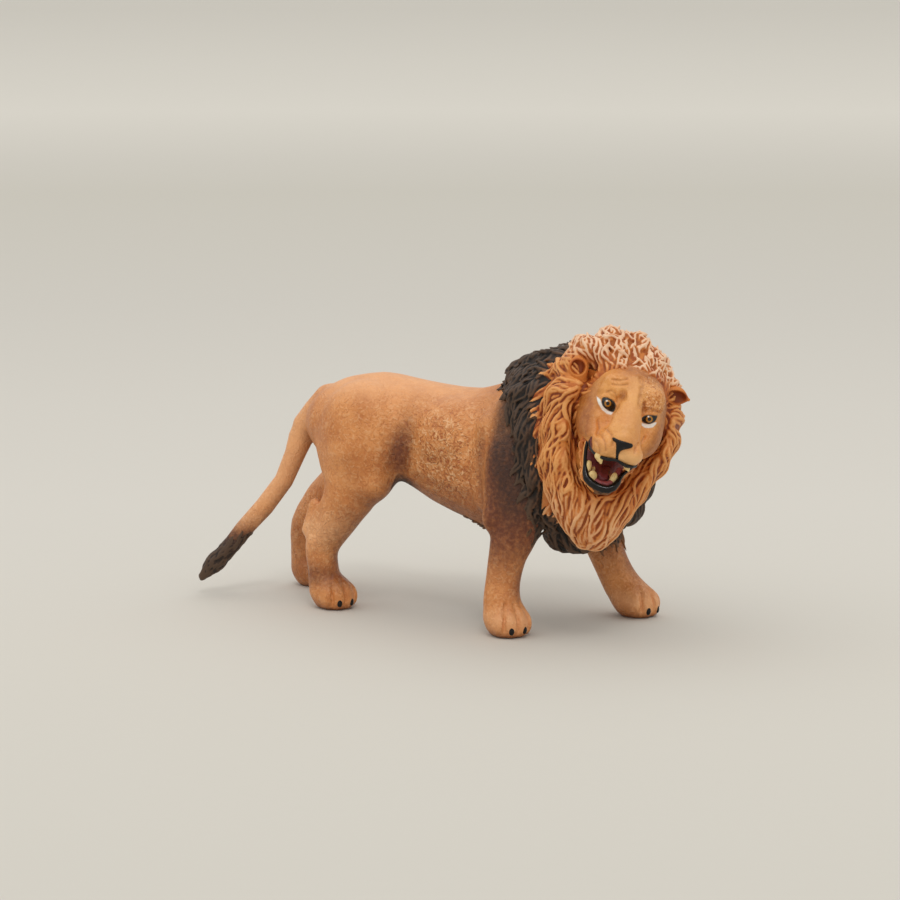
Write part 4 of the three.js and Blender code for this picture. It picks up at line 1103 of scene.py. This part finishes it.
def make_head():
    clay = shape_head()
    head_piece("head_skin", clay, FACE, face_marks, nodes=["head"], slot="face_paint")
    for side in SIDE:
        make_eye(side, clay)
    make_nose(clay)
    head_piece("jaw_skin", shape_jaw(), FACE, face_marks, nodes=["lower_jaw"], slot="face_paint")
    make_lips()
    make_tongue()
    make_teeth()


make_head()


# Ears

EARS = {
    # middle in the head's frame, the way the cup opens, the way its tip points, length and scale
    "right": ((0.1, -9.8, 6.6), (0.9, -0.25, 0.1), (0.0, -0.45, 0.9), 1.9, 0.9),
    "left": ((-0.6, 8.6, 7.3), (0.9, 0.2, -0.25), (-0.1, 1.0, 0.05), 2.9, 0.86),
}


def make_ear(side):
    """A thin ear, hollowed like a spoon and drawn out to its tip."""
    middle, opening, tip, length, scale = EARS[side]
    opening = unit(opening)
    across = unit(np.cross(tip, opening))
    turn = np.stack([opening, across, np.cross(opening, across)], axis=1)
    clay = Clay((-3.5, -3.5, -4.5), (3.5, 3.5, 5), 0.13)
    clay.add(ball((-0.2, 0, 0), (1.2, 2.0, 2.1)), 0)
    clay.add(limb((-0.3, 0, 0.6, 1.2), (-0.1, 0.1, length, 0.35)), 1.2)
    clay.add(limb((-0.6, 0, -0.8, 1.5), (-1.2, 0, -2.8, 1.5)), 1.0)
    clay.cut(ball((0.9, 0.05, -0.1), (1.5, 1.5, length * 0.8)), 0.25)
    for aside, low in ((0.75, -1.2), (0.1, -1.6), (-0.6, -1.1)):
        clay.cut(limb((0.3, aside, 1.2, 0.12), (-0.5, aside * 0.7, low, 0.2)), 0.3)
    points, quads = clay.skin()
    x, y, z = points.T
    share = np.hypot(y / 1.5, (z - 0.2) / (length * 0.8))
    inner = (x > -1.1) & (share < 1.05)
    streaks = 0.1 * np.cos(9 * np.arctan2(z + 2.0, y))
    marks = {
        "ridge": np.where(inner, 0.02 + streaks + 0.45 * step_up(share, 0.7, 1.05), 0.5),
        "tone": np.where(inner, 0.1, 0.8),
        "along": np.zeros(len(points)),
        "region": np.zeros(len(points)),
    }
    placed = to_lion(scale * points @ turn.T + middle)
    piece(side + "_ear_shell", placed, quads, GOLD_HAIR, [side + "_ear"], "gold_mane_paint", marks)


for side in SIDE:
    make_ear(side)


# Carved hair

HAIR_STEP = 0.15
HAIR_REACH = 4 * HAIR_STEP  # how far from the hair its distances are kept
LOCK_ROWS = 14  # along a lock
UNDER_ROWS = np.array([0.6, 0.0, -0.6])  # across the flat underside of a lock


def scatter(points, quads, gap_at, tries, seed):
    """Roots over a surface, no two nearer than the gap wanted there."""
    chance = np.random.default_rng(seed)
    a, b, c, d = (points[quads[:, k]] for k in range(4))
    area = np.linalg.norm(np.cross(c - a, d - b), axis=1)
    picks = chance.choice(len(quads), tries, p=area / area.sum())
    s, t = chance.random((2, tries, 1))
    spots = (a[picks] * (1 - s) + b[picks] * s) * (1 - t) + (d[picks] * (1 - s) + c[picks] * s) * t
    gaps = gap_at(spots)
    kept = np.empty((0, 3))
    for spot, gap in zip(spots, gaps):
        if gap > 0 and (not len(kept) or ((kept - spot) ** 2).sum(1).min() > gap * gap):
            kept = np.vstack([kept, spot])
    return kept


def swell(points):
    """A slow change over the mane, so that locks side by side wave together."""
    x, y, z = points.T
    return 1.9 * np.sin(0.34 * x + 1.0) + 2.1 * np.sin(0.4 * y + 2.0) + 2.3 * np.sin(0.31 * z + 0.4)


def comb(surface, roots, flow, length, wave, wavelength, stray, rise, lift, seed):
    """Middle lines of locks laid over a surface along a flow, and the way out of it there."""
    chance = np.random.default_rng(seed)
    count = len(roots)
    length, rise, lift = (np.broadcast_to(value, count) for value in (length, rise, lift))
    phase = swell(roots) + chance.normal(0, 0.55, count)
    lean = chance.normal(0, 1, count) * stray
    lines = np.zeros((count, LOCK_ROWS, 3))
    outs = np.zeros((count, LOCK_ROWS, 3))
    spots = roots.copy()
    heading = None
    for row in range(LOCK_ROWS):
        found = [surface.find_nearest(Vector(spot)) for spot in spots]
        spots = np.array([f[0] for f in found])
        normals = np.array([f[1] for f in found])
        share = row / (LOCK_ROWS - 1)
        proud = rise * math.sin(share * math.pi / 2) ** 0.7 + lift * share**2 - 0.4
        lines[:, row] = spots + normals * proud[:, None]
        outs[:, row] = normals
        wanted = flow(spots)
        wanted = unit(wanted - normals * (wanted * normals).sum(1, keepdims=True))
        heading = wanted if heading is None else unit(0.45 * heading + 0.55 * wanted)
        turn = wave * np.sin(phase + math.tau * share * length / wavelength) + lean
        across = np.cross(normals, heading)
        step = (length / (LOCK_ROWS - 1))[:, None]
        spots = spots + (heading * np.cos(turn)[:, None] + across * np.sin(turn)[:, None]) * step
    return lines, outs


def carve(lines, outs, width, height, ridges, seed):
    """Locks about their middle lines: ridged on top, flat below, drawn out to a point."""
    chance = np.random.default_rng(seed)
    count, rows, _ = lines.shape
    ahead = unit(np.gradient(lines, axis=1))
    side = unit(np.cross(outs, ahead))
    up = np.cross(ahead, side)
    share = np.linspace(0, 1, rows)
    blunt = chance.uniform(1.3, 2.4, (count, 1))
    root_swell = 0.5 + 0.5 * np.sin(np.clip(share / 0.35, 0, 1) * math.pi / 2)
    fullness = root_swell * (1 - share**blunt) ** 0.75 + 0.015
    wander = chance.random((count, 1)) * math.tau + chance.normal(0, 0.8, (count, 1)) * share
    over = np.linspace(-1, 1, 4 * ridges + 1)
    u = np.concatenate([over, UNDER_ROWS])
    on_top = np.arange(len(u)) < len(over)
    dome = np.sqrt(np.clip(1 - u * u, 0, 1))
    crown = np.abs(np.cos(math.pi / 2 * ridges * u + wander[..., None])) ** 1.7
    level = chance.uniform(0.55, 1.0, (count, 1, ridges + 1))
    which = np.clip(((u + 1) / 2 * (ridges + 1)).astype(int), 0, ridges)
    crown = crown * level[:, :, which]
    rise = np.where(on_top, dome * (0.25 + 0.75 * crown), -0.45 * dome)
    wide = width[:, None, None] * fullness[..., None] * 0.5
    high = height[:, None, None] * np.maximum(fullness[..., None], 0.12)
    ring = (
        lines[:, :, None]
        + side[:, :, None] * (wide * u)[..., None]
        + up[:, :, None] * (high * rise)[..., None]
    )
    around = len(u)
    points = ring.reshape(-1, 3)
    each = rows * around
    k, j = np.meshgrid(np.arange(rows - 1), np.arange(around), indexing="ij")
    beside = (j + 1) % around
    corners = [k * around + j, k * around + beside, (k + 1) * around + beside, (k + 1) * around + j]
    one = np.stack(corners, -1).reshape(-1, 4)
    quads = (one[None] + (np.arange(count) * each)[:, None, None]).reshape(-1, 4)
    # a middle point closes each end
    ends = np.concatenate([lines[:, 0], lines[:, -1] + ahead[:, -1] * 0.05])
    j = np.arange(around)
    root = np.arange(count)[:, None] * each
    tip = root + (rows - 1) * around
    middle = len(points) + np.arange(count)[:, None]
    first = np.stack(np.broadcast_arrays(middle, root + (j + 1) % around, root + j), -1)
    last = np.stack(np.broadcast_arrays(middle + count, tip + j, tip + (j + 1) % around), -1)
    triangles = np.concatenate([first.reshape(-1, 3), last.reshape(-1, 3)])
    if volume(points, quads) < 0:
        quads, triangles = quads[:, ::-1], triangles[:, ::-1]
    return np.concatenate([points, ends]), np.concatenate([halved(quads), triangles])


def surface_of(points, quads):
    return BVHTree.FromPolygons([Vector(p) for p in points], quads.tolist())


class Hair:
    """Locks of one colour, gathered before they are fused into one carved surface."""

    def __init__(self):
        self.points, self.triangles, self.lines = [], [], []
        self.count = 0

    def lay(self, surface, roots, flow, seed, ridges, width, height, **style):
        """Combs locks over a surface from their roots, and carves them."""
        lines, outs = comb(surface, roots, flow, seed=seed, **style)
        width, height = (np.broadcast_to(size, len(roots)) for size in (width, height))
        points, triangles = carve(lines, outs, width, height, ridges, seed + 50)
        self.lines.append(lines)
        self.points.append(points)
        self.triangles.append(triangles + self.count)
        self.count += len(points)

    def field(self, clay):
        """Distances to the locks, over a whole block of clay."""
        return clay.solid(np.concatenate(self.points), np.concatenate(self.triangles), HAIR_REACH)


def nearest_lock(lines, spots):
    """The lock nearest to each spot, and how far along it that is."""
    lines = np.concatenate(lines)
    count, rows, _ = lines.shape
    tree = KDTree(count * rows)
    for index, spot in enumerate(lines.reshape(-1, 3)):
        tree.insert(spot, index)
    tree.balance()
    found = np.array([tree.find(spot)[1] for spot in spots])
    return found // rows, (found % rows) / (rows - 1)


def brush_marks(lock, along, points, quads, seed, dim=1.0, region=0.0):
    """Marks for the hair's paint: what a dry brush would touch, and a tone for each lock."""
    fine = relief(points, quads, 8)
    broad = relief(points, quads, 50)
    ridge = np.clip(0.45 + 0.24 * fine / fine.std() + 0.14 * broad / broad.std(), 0, 1)
    tone = np.random.default_rng(seed).random(lock.max() + 1)[lock]
    region = region + np.zeros(len(points))
    return {"ridge": ridge * dim, "tone": tone * dim, "along": along, "region": region}


# Manes

MANE_BLOCK = ((10.2, -27, 10.2), (58, 23, 60))

# The pieces that the fused hair is cut into, with their paint, node and slot
GOLD_LOOK = (GOLD_HAIR, ["front_mane"], "gold_mane_paint")
DARK_LOOK = (DARK_HAIR, ["rear_mane"], "dark_mane_paint")
MANE_PIECES = {
    "gold_crown": GOLD_LOOK, "gold_beard": GOLD_LOOK, "gold_left": GOLD_LOOK, "gold_right": GOLD_LOOK,
    "dark_crest": DARK_LOOK, "dark_left": DARK_LOOK, "dark_chest": DARK_LOOK, "dark_right": DARK_LOOK,
}

# The edge of the face where the golden hair starts, as rows of left and up
FACE_EDGE = [
    (-6.0, 4.8), (-6.1, 3.0), (-6.0, 0.8), (-5.7, -1.4), (-5.4, -3.6), (-5.1, -5.3), (-5.0, -6.7),
    (-4.95, -8.0), (-4.55, -9.3), (-4.15, -10.5), (-3.6, -11.5), (-2.5, -12.2), (-1.2, -12.5),
    (0.3, -12.5), (1.4, -12.0), (2.3, -11.0), (2.7, -9.6), (3.4, -8.2), (4.8, -5.6), (5.8, -3.4),
    (6.5, -1.0), (6.8, 1.4), (6.9, 3.2), (6.5, 5.4), (5.9, 7.2), (4.6, 8.3), (2.0, 8.5),
    (-0.8, 8.7), (-2.6, 8.4), (-4.2, 7.4), (-5.4, 6.2),
]


def dark_edge(points):
    """How far forward the dark fur starts: far back on the crest, further forward low down."""
    y, z = points[..., 1], points[..., 2]
    below = step_up(46.0 - z, 0, 6)
    sides = step_up(np.abs(y), 3, 8)
    return 15.2 + 4.9 * (1 - below) * sides + 9.2 * below + 3.2 * step_up(39.0 - z, 0, 20)


def shape_manes():
    """The bulk under the hair, from face to shoulders, and the distance to each mane's node."""
    clay = Clay(*MANE_BLOCK, SKIN_STEP)
    front = clay.solid(*node_mesh("front_mane"))
    rear = clay.solid(*node_mesh("rear_mane"))
    _, (x, y, z) = clay.window(*clay.corners(), 0)
    spots = np.stack(np.broadcast_arrays(x, y, z), axis=-1)
    # the fur's rear edge leans, and thins out over the skin
    behind = dark_edge(spots) - x
    spot = to_head(spots)
    slim = 0.32 + 0.55 * step_up(spot[..., 1], 3, 8) * step_up(-spot[..., 2], 3, 9)
    clay.field = smooth_join(front, rear, 1.5) + slim.astype(np.float32)
    clay.field = np.maximum(clay.field, 0.55 * behind.astype(np.float32))
    clay.soften(10)
    # the dark fur hangs lowest under the chest
    clay.add(limb((26.0, -6.0, 20.0, 2.7), (29.8, -6.5, 17.6, 2.6), (34.5, -7.0, 18.0, 2.4)), 2.0)
    # the bulk fills in behind the face and the lower lip, and stays out of the mouth
    for shape, blend in (
        (ball((-0.8, 0, 1.0), (8.2, 8.0, 8.5)), 2.5),
        (ball((3.0, 0.1, 4.4), (4.3, 5.8, 5.5)), 2.5),
        (ball((4.2, 0, 0.0), (4.0, 6.1, 6.3)), 2.0),
        (limb(*[(f - 1.5, l * 0.98, u + 0.2, 0.75) for f, l, u in LOWER_LIP]), 2.2),
    ):
        clay.add(on_head(shape), blend)
    clay.cut(on_head(prism(MOUTH, 1.0, 20)), 0.8)
    return clay, front, rear


def off_face(spots):
    """How far a place is outside the face's edge, seen from the front."""
    f, l, u = to_head(spots).T
    return np.where(f < -1, 6.0, outline_gap(FACE_EDGE, l, u))


def gold_flow(points):
    """The way golden hair lies: up and back over the crown, out and down at the sides."""
    _, l, u = to_head(points).T
    out = unit(np.stack([l - 0.3, u + 2.0], axis=1))
    down = step_up(-u, -8, 3)
    sweep = -0.5 + 0.3 * step_up(-u, 4, 14)
    aside = out[:, 0] * (1 - 0.62 * down)
    upwards = out[:, 1] * (1 - 0.75 * down) - 1.25 * down
    return np.stack([sweep, aside, upwards], axis=1) @ HEAD_TURN.T


def dark_flow(points):
    """The way dark hair lies: back from the crest, down and back behind the ruff, forward below."""
    _, y, z = points.T
    top, low = step_up(z, 39, 50), step_up(28 - z, 0, 8)
    lean = np.sign(y + 1.5)
    return np.stack([-0.2 - 0.6 * top + 0.5 * low, lean * (0.15 + 0.5 * top), -1.0 + 0.7 * top], axis=1)


class Manes:
    """The golden ruff and the dark mane: the bulk under them, and the locks laid over it."""

    def __init__(self):
        self.clay, self.front, self.rear = shape_manes()
        # locks also lie on the skin, where the dark fur runs out over the shoulders
        bulk = Clay(*MANE_BLOCK, SKIN_STEP)
        bulk.field = smooth_join(self.clay.field, skin_under(bulk), 1.8)
        self.points, self.quads = bulk.skin()
        self.surface = surface_of(self.points, self.quads)
        self.gold, self.dark = Hair(), Hair()

    def within_ruff(self, spots):
        """How far inside the golden ruff a place is, and less than nothing in the dark mane."""
        return self.clay.at(spots, self.rear) - self.clay.at(spots, self.front)

    def lay_gold(self, gap, widths, heights, ridges, proud, seed):
        """One layer of golden locks, finer and shorter on the crown, longer in the beard."""

        def gap_at(spots):
            up = to_head(spots)[:, 2]
            wanted = gap * (1 - 0.18 * step_up(up, 5, 9) + 0.1 * step_up(-up, 10, 15))
            start = np.where(up < -5.0, -0.6, 0.0)
            return np.where((self.within_ruff(spots) > 0) & (off_face(spots) > start), wanted, 0)

        roots = scatter(self.points, self.quads, gap_at, 24000, seed)
        up = to_head(roots)[:, 2]
        crown, beard = step_up(up, 6.5, 9.5), step_up(-up, 8, 14)
        by_face = 1 - step_up(off_face(roots), 0.2, 2.4)
        inside = step_up(self.within_ruff(roots), 0, 4.5)
        chance = np.random.default_rng(seed + 1)
        size = chance.random(len(roots))

        def vary(low, high):
            return chance.uniform(low, high, len(roots))

        length = (6.4 + 5.0 * size + 1.0 * beard) * (1 - 0.7 * crown)
        self.gold.lay(
            self.surface, roots, gold_flow, seed + 2, ridges,
            width=(widths[0] + (widths[1] - widths[0]) * size) * (1 - 0.25 * crown),
            height=heights[0] + (heights[1] - heights[0]) * size,
            length=length * (1 - 0.3 * by_face) * (0.4 + 0.6 * inside),
            wave=(0.36 + 0.1 * crown - 0.08 * beard) * vary(0.5, 1.5),
            wavelength=(7.0 - 3.5 * crown + 1.0 * beard) * vary(0.85, 1.2),
            stray=0.09 + 0.36 * crown,
            rise=proud * (1 - 0.3 * by_face) * vary(0.5, 1.5),
            lift=(0.1 + 0.6 * crown + 0.2 * size) * vary(0.3, 1.4),
        )

    def lay_dark(self, gap, widths, heights, ridges, proud, seed):
        """One layer of dark locks, short and ragged at the rear edge and on the crest."""

        def gap_at(spots):
            x, y, z = spots.T
            behind = x - dark_edge(spots)
            low = np.where(y > 8, 20.0, np.where(y < -12.5, 17.0, 12.5))
            f, l, u = to_head(spots).T
            before_face = (f > 0) & (np.hypot(l, u) < 9.5)
            grows = (self.within_ruff(spots) <= 0) & (behind > 0) & (z > low) & ~before_face
            parting = bell((z - 44.0) / 3.0) * step_up(y, 2, 8)
            wanted = gap * (0.72 + 0.28 * step_up(behind, 1.0, 4.5)) * (1 - 0.35 * parting)
            return np.where(grows, wanted, 0)

        roots = scatter(self.points, self.quads, gap_at, 20000, seed)
        back = 1 - step_up(roots[:, 0] - dark_edge(roots), 0.8, 4.2)
        top = step_up(roots[:, 2], 43, 48)
        chance = np.random.default_rng(seed + 1)
        size = chance.random(len(roots))

        def vary(low, high):
            return chance.uniform(low, high, len(roots))

        self.dark.lay(
            self.surface, roots, dark_flow, seed + 2, ridges,
            width=(widths[0] + (widths[1] - widths[0]) * size) * (1 - 0.35 * back),
            height=(heights[0] + (heights[1] - heights[0]) * size) * (1 - 0.4 * back * (1 - top)),
            length=(6.0 + 4.4 * size) * (1 - 0.76 * back) * (1 - 0.6 * top * (1 - back)),
            wave=(0.36 + 0.2 * back) * vary(0.6, 1.4),
            wavelength=(6.5 - 3.5 * back) * vary(0.85, 1.2),
            stray=0.1 + 0.4 * np.maximum(back, top),
            rise=proud * (1 - 0.5 * back) * vary(0.5, 1.5),
            lift=(0.1 + 0.4 * top + 0.2 * size) * (1 - 0.4 * back) * vary(0.3, 1.4),
        )

    def fuse(self):
        """Locks and bulk as one surface, rubbed down a little and open behind the fur's edge."""
        core, core_quads = self.clay.skin()
        whole = Clay(*self.clay.corners(), HAIR_STEP)
        under = whole.solid(core, halved(core_quads), HAIR_REACH)
        gold_gap, dark_gap = self.gold.field(whole), self.dark.field(whole)
        whole.field = np.minimum(np.minimum(gold_gap, dark_gap), under)
        whole.soften(1)
        points, quads = whole.skin(1)
        middles = points[quads].mean(1)
        hair_gap = np.minimum(whole.at(middles, gold_gap), whole.at(middles, dark_gap))
        before_edge = middles[:, 0] > dark_edge(middles) + 0.4
        keep = before_edge | (hair_gap < HAIR_STEP * 3.5) | (self.within_ruff(middles) > 0)
        return points, quads[keep]

    def golden(self, lock, points, quads):
        """Which points are gold: those of golden locks, with the border evened out."""
        share = (lock < sum(len(lines) for lines in self.gold.lines)).astype(float)
        share += 0.2 * np.clip(self.within_ruff(points), -4, 4)
        return spread(share, quads, 20) > 0.5

    def marks(self, lock, along, gold, points, quads):
        """The brushwork: paler on crown and beard, plainer and darker by the face as painted shade,
        browner at the seam.
        """
        up = to_head(points)[:, 2]
        by_seam = step_up(3.0 - np.abs(self.within_ruff(points)), 0, 3)
        pale = np.clip(0.95 * step_up(up, 7.0, 10.5) + 0.4 * step_up(-up, 13, 19), 0, 1)
        # darker golden roots by the face: painted shade
        by_face = (1 - step_up(off_face(points), 0.3, 2.6)) * (0.5 - 0.35 * step_up(-up, 6, 10))
        dim = np.where(gold, (1 - by_face) * (1 - 0.3 * by_seam), 1.0)
        region = np.where(gold, pale, 0.85 * by_seam)
        return brush_marks(lock, along, points, quads, 71, dim, region)

    @staticmethod
    def owners(gold, points, quads):
        """The name of the piece that each quad belongs to."""
        middles = points[quads].mean(1)
        _, left, up = to_head(middles).T
        _, y, z = middles.T
        golden = np.select(
            [up > 7.5, up < -9.5, left > -0.2], ["gold_crown", "gold_beard", "gold_left"], "gold_right"
        )
        dark = np.select(
            [z > 43.5, y < -3, z > 29], ["dark_crest", "dark_right", "dark_left"], "dark_chest"
        )
        return np.where(gold[quads].sum(1) >= 2, golden, dark)


def make_manes():
    manes = Manes()
    manes.lay_gold(1.35, (1.8, 2.7), (0.85, 1.25), 2, 0.3, 11)
    manes.lay_gold(1.5, (0.8, 1.3), (0.6, 0.85), 1, 0.75, 111)
    manes.lay_dark(1.2, (1.5, 2.5), (0.7, 1.05), 2, 0.35, 21)
    manes.lay_dark(1.25, (0.7, 1.2), (0.5, 0.75), 1, 0.7, 121)
    points, quads = manes.fuse()
    lock, along = nearest_lock(manes.gold.lines + manes.dark.lines, points)
    gold = manes.golden(lock, points, quads)
    marks = manes.marks(lock, along, gold, points, quads)
    cut_pieces(points, quads, manes.owners(gold, points, quads), marks, MANE_PIECES, 1.0)


make_manes()


# Tail tuft and belly fringe


def dark_piece(name, hair, clay, seed, region=0.0, nodes=()):
    """Dark locks and the bulk under them, fused into one carved piece."""
    clay.field = np.minimum(clay.field, hair.field(clay))
    clay.soften(1)
    points, quads = clay.skin(1)
    marks = brush_marks(*nearest_lock(hair.lines, points), points, quads, seed, region=region)
    piece(name, points, quads, DARK_HAIR, nodes, "dark_mane_paint", marks)


def make_tuft():
    """Ragged dark locks round the end of the tail."""
    line = np.array([(-38.4, -5.4, 13.0), (-41.2, -6.6, 9.5), (-44.0, -7.6, 6.3), (-46.2, -8.5, 3.6)])
    clay = Clay((-49, -12, 0.2), (-36, -2, 15), HAIR_STEP)
    clay.add(limb(*[(*p, r) for p, r in zip(line, (1.5, 1.5, 1.75, 0.8))]), 0)
    points, quads = clay.skin()
    ahead = unit(line[-1] - line[0])

    def gap_at(spots):
        return np.where((spots - line[-1]) @ ahead < -1.5, 0.9, 0)

    roots = scatter(points, quads, gap_at, 1500, 31)
    chance = np.random.default_rng(32)
    tuft = Hair()
    tuft.lay(
        surface_of(points, quads), roots, lambda spots: np.broadcast_to(ahead, spots.shape), 33, 2,
        width=chance.uniform(0.9, 1.4, len(roots)),
        height=0.5,
        length=3.2 * chance.uniform(0.6, 1.2, len(roots)),
        wave=0.3, wavelength=3.0, stray=0.15, rise=0.4, lift=0.15,
    )
    dark_piece("tuft_locks", tuft, clay, 34, nodes=["tail_tuft"])


def make_fringe():
    """Short dark locks that hang under the belly, from its middle to the elbows."""
    skin = Clay((0, -10, 10), (25, 8, 30), SKIN_STEP)
    skin.field = skin_under(skin)
    points, quads = skin.skin()

    def gap_at(spots):
        x, y, z = spots.T
        hangs = (x > 4) & (x < 20) & (np.abs(y + 0.5) < 5.5) & (z < belly_line(x) + 1.6)
        return np.where(hangs, 0.85 - 0.2 * step_up(x, 8, 16), 0)

    roots = scatter(points, quads, gap_at, 6000, 41)
    chance = np.random.default_rng(42)
    size = 0.45 + 0.55 * step_up(roots[:, 0], 6, 16)
    backwards = np.array([-0.9, 0.0, -0.5])
    fringe = Hair()
    fringe.lay(
        surface_of(points, quads), roots, lambda spots: np.broadcast_to(backwards, spots.shape), 43, 1,
        width=size * chance.uniform(0.9, 1.5, len(roots)),
        height=size * 0.7,
        length=2.6 * size * chance.uniform(0.7, 1.2, len(roots)),
        wave=0.3, wavelength=3.0, stray=0.3, rise=0.3 * size, lift=0.9 * size,
    )
    dark_piece("belly_fringe", fringe, Clay((0, -10, 8), (25, 8, 30), HAIR_STEP), 44, 0.5)


make_tuft()
make_fringe()


# Claws


def make_claws():
    """A black claw painted on the front of each toe, as an almond that leans to its heading."""
    for name, ((x, y), heading) in PAWS.items():
        for number, (step, reach, _) in enumerate(TOES):
            turn = math.radians(heading + step)
            out = reach + 1.18
            centre = (x + math.cos(turn) * out, y + math.sin(turn) * out, 1.75)
            tilt = Matrix.Rotation(turn, 3, "Z") @ Matrix.Rotation(math.radians(-12), 3, "Y")
            claw = bead(f"{name}_claw_{number + 1}", centre, (0.5, 0.62, 1.0), tilt, BLACK_GLOSS, 8)
            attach(claw, "root")


make_claws()


# Stage, light and camera

# The paper's colour by how near it is to the lens: its brighter and darker bands are painted light and
# shade
PAPER = [
    (0.05, "c2beb4"), (0.1, "cbc7bd"), (0.15, "d2cec4"), (0.2, "c7c3b9"), (0.23, "c3bfb4"),
    (0.34, "c8c4bb"), (0.44, "cfcbc2"), (0.54, "d3cfc6"), (0.7, "d3cfc5"), (0.92, "d0ccc2"),
]


def make_stage():
    """A pale floor that keeps the shadow, soft light from above and the camera."""
    bpy.ops.mesh.primitive_plane_add(size=60, location=(0, 0, 0))
    floor = bpy.context.active_object
    floor.name = "floor"
    paint = Paint("pale_paper")
    spot = paint.node("TexCoord")["Object"]
    lens_foot = tuple(-v for v in to_part(CAMERA_PLACE)[:2]) + (0.0,)
    away = paint.node("VectorMath", {"operation": "ADD"}, [spot, lens_foot])["Vector"]
    distance = paint.node("VectorMath", {"operation": "LENGTH"}, [away])["Value"]
    nearness = 0.4 / distance
    grain = paint.noise(paint.place(), 0.3, 2.0)
    stops = [(place, colour(shade)) for place, shade in PAPER]
    paper = paint.node("ValToRGB", {"stops": stops}, [nearness])["Color"]
    floor.data.materials.append(paint.finish(paper, 0.75 + 0.1 * grain))

    world = bpy.data.worlds.new("room")
    bpy.context.scene.world = world
    world.use_nodes = True
    background = world.node_tree.nodes["Background"]
    background.inputs["Color"].default_value = (1.0, 0.985, 0.955, 1)
    background.inputs["Strength"].default_value = 0.6

    # where each light stands, as seen from the lion
    for name, stand, strength, softness in (
        ("overhead", (-0.1, -0.05, 1.0), 1.12, 110),
        ("window", (0.35, -0.5, 0.8), 0.34, 12),
    ):
        light = bpy.data.lights.new(name, "SUN")
        light.energy = strength
        light.angle = math.radians(softness)
        lamp = bpy.data.objects.new(name, light)
        lamp.rotation_euler = Vector(stand).to_track_quat("Z", "Y").to_euler()
        bpy.context.scene.collection.objects.link(lamp)

    lens = bpy.data.cameras.new("camera")
    lens.sensor_width = FILM_WIDTH
    lens.lens = FILM_WIDTH * CAMERA_REACH / PICTURE
    lens.clip_end = 200
    camera = bpy.data.objects.new("camera", lens)
    camera.location = to_part(CAMERA_PLACE)
    line = Vector(to_part(CAMERA_TARGET)) - camera.location
    camera.rotation_euler = line.to_track_quat("-Z", "Y").to_euler()
    bpy.context.scene.collection.objects.link(camera)
    bpy.context.scene.camera = camera
    bpy.context.scene.view_settings.view_transform = "Standard"


make_stage()
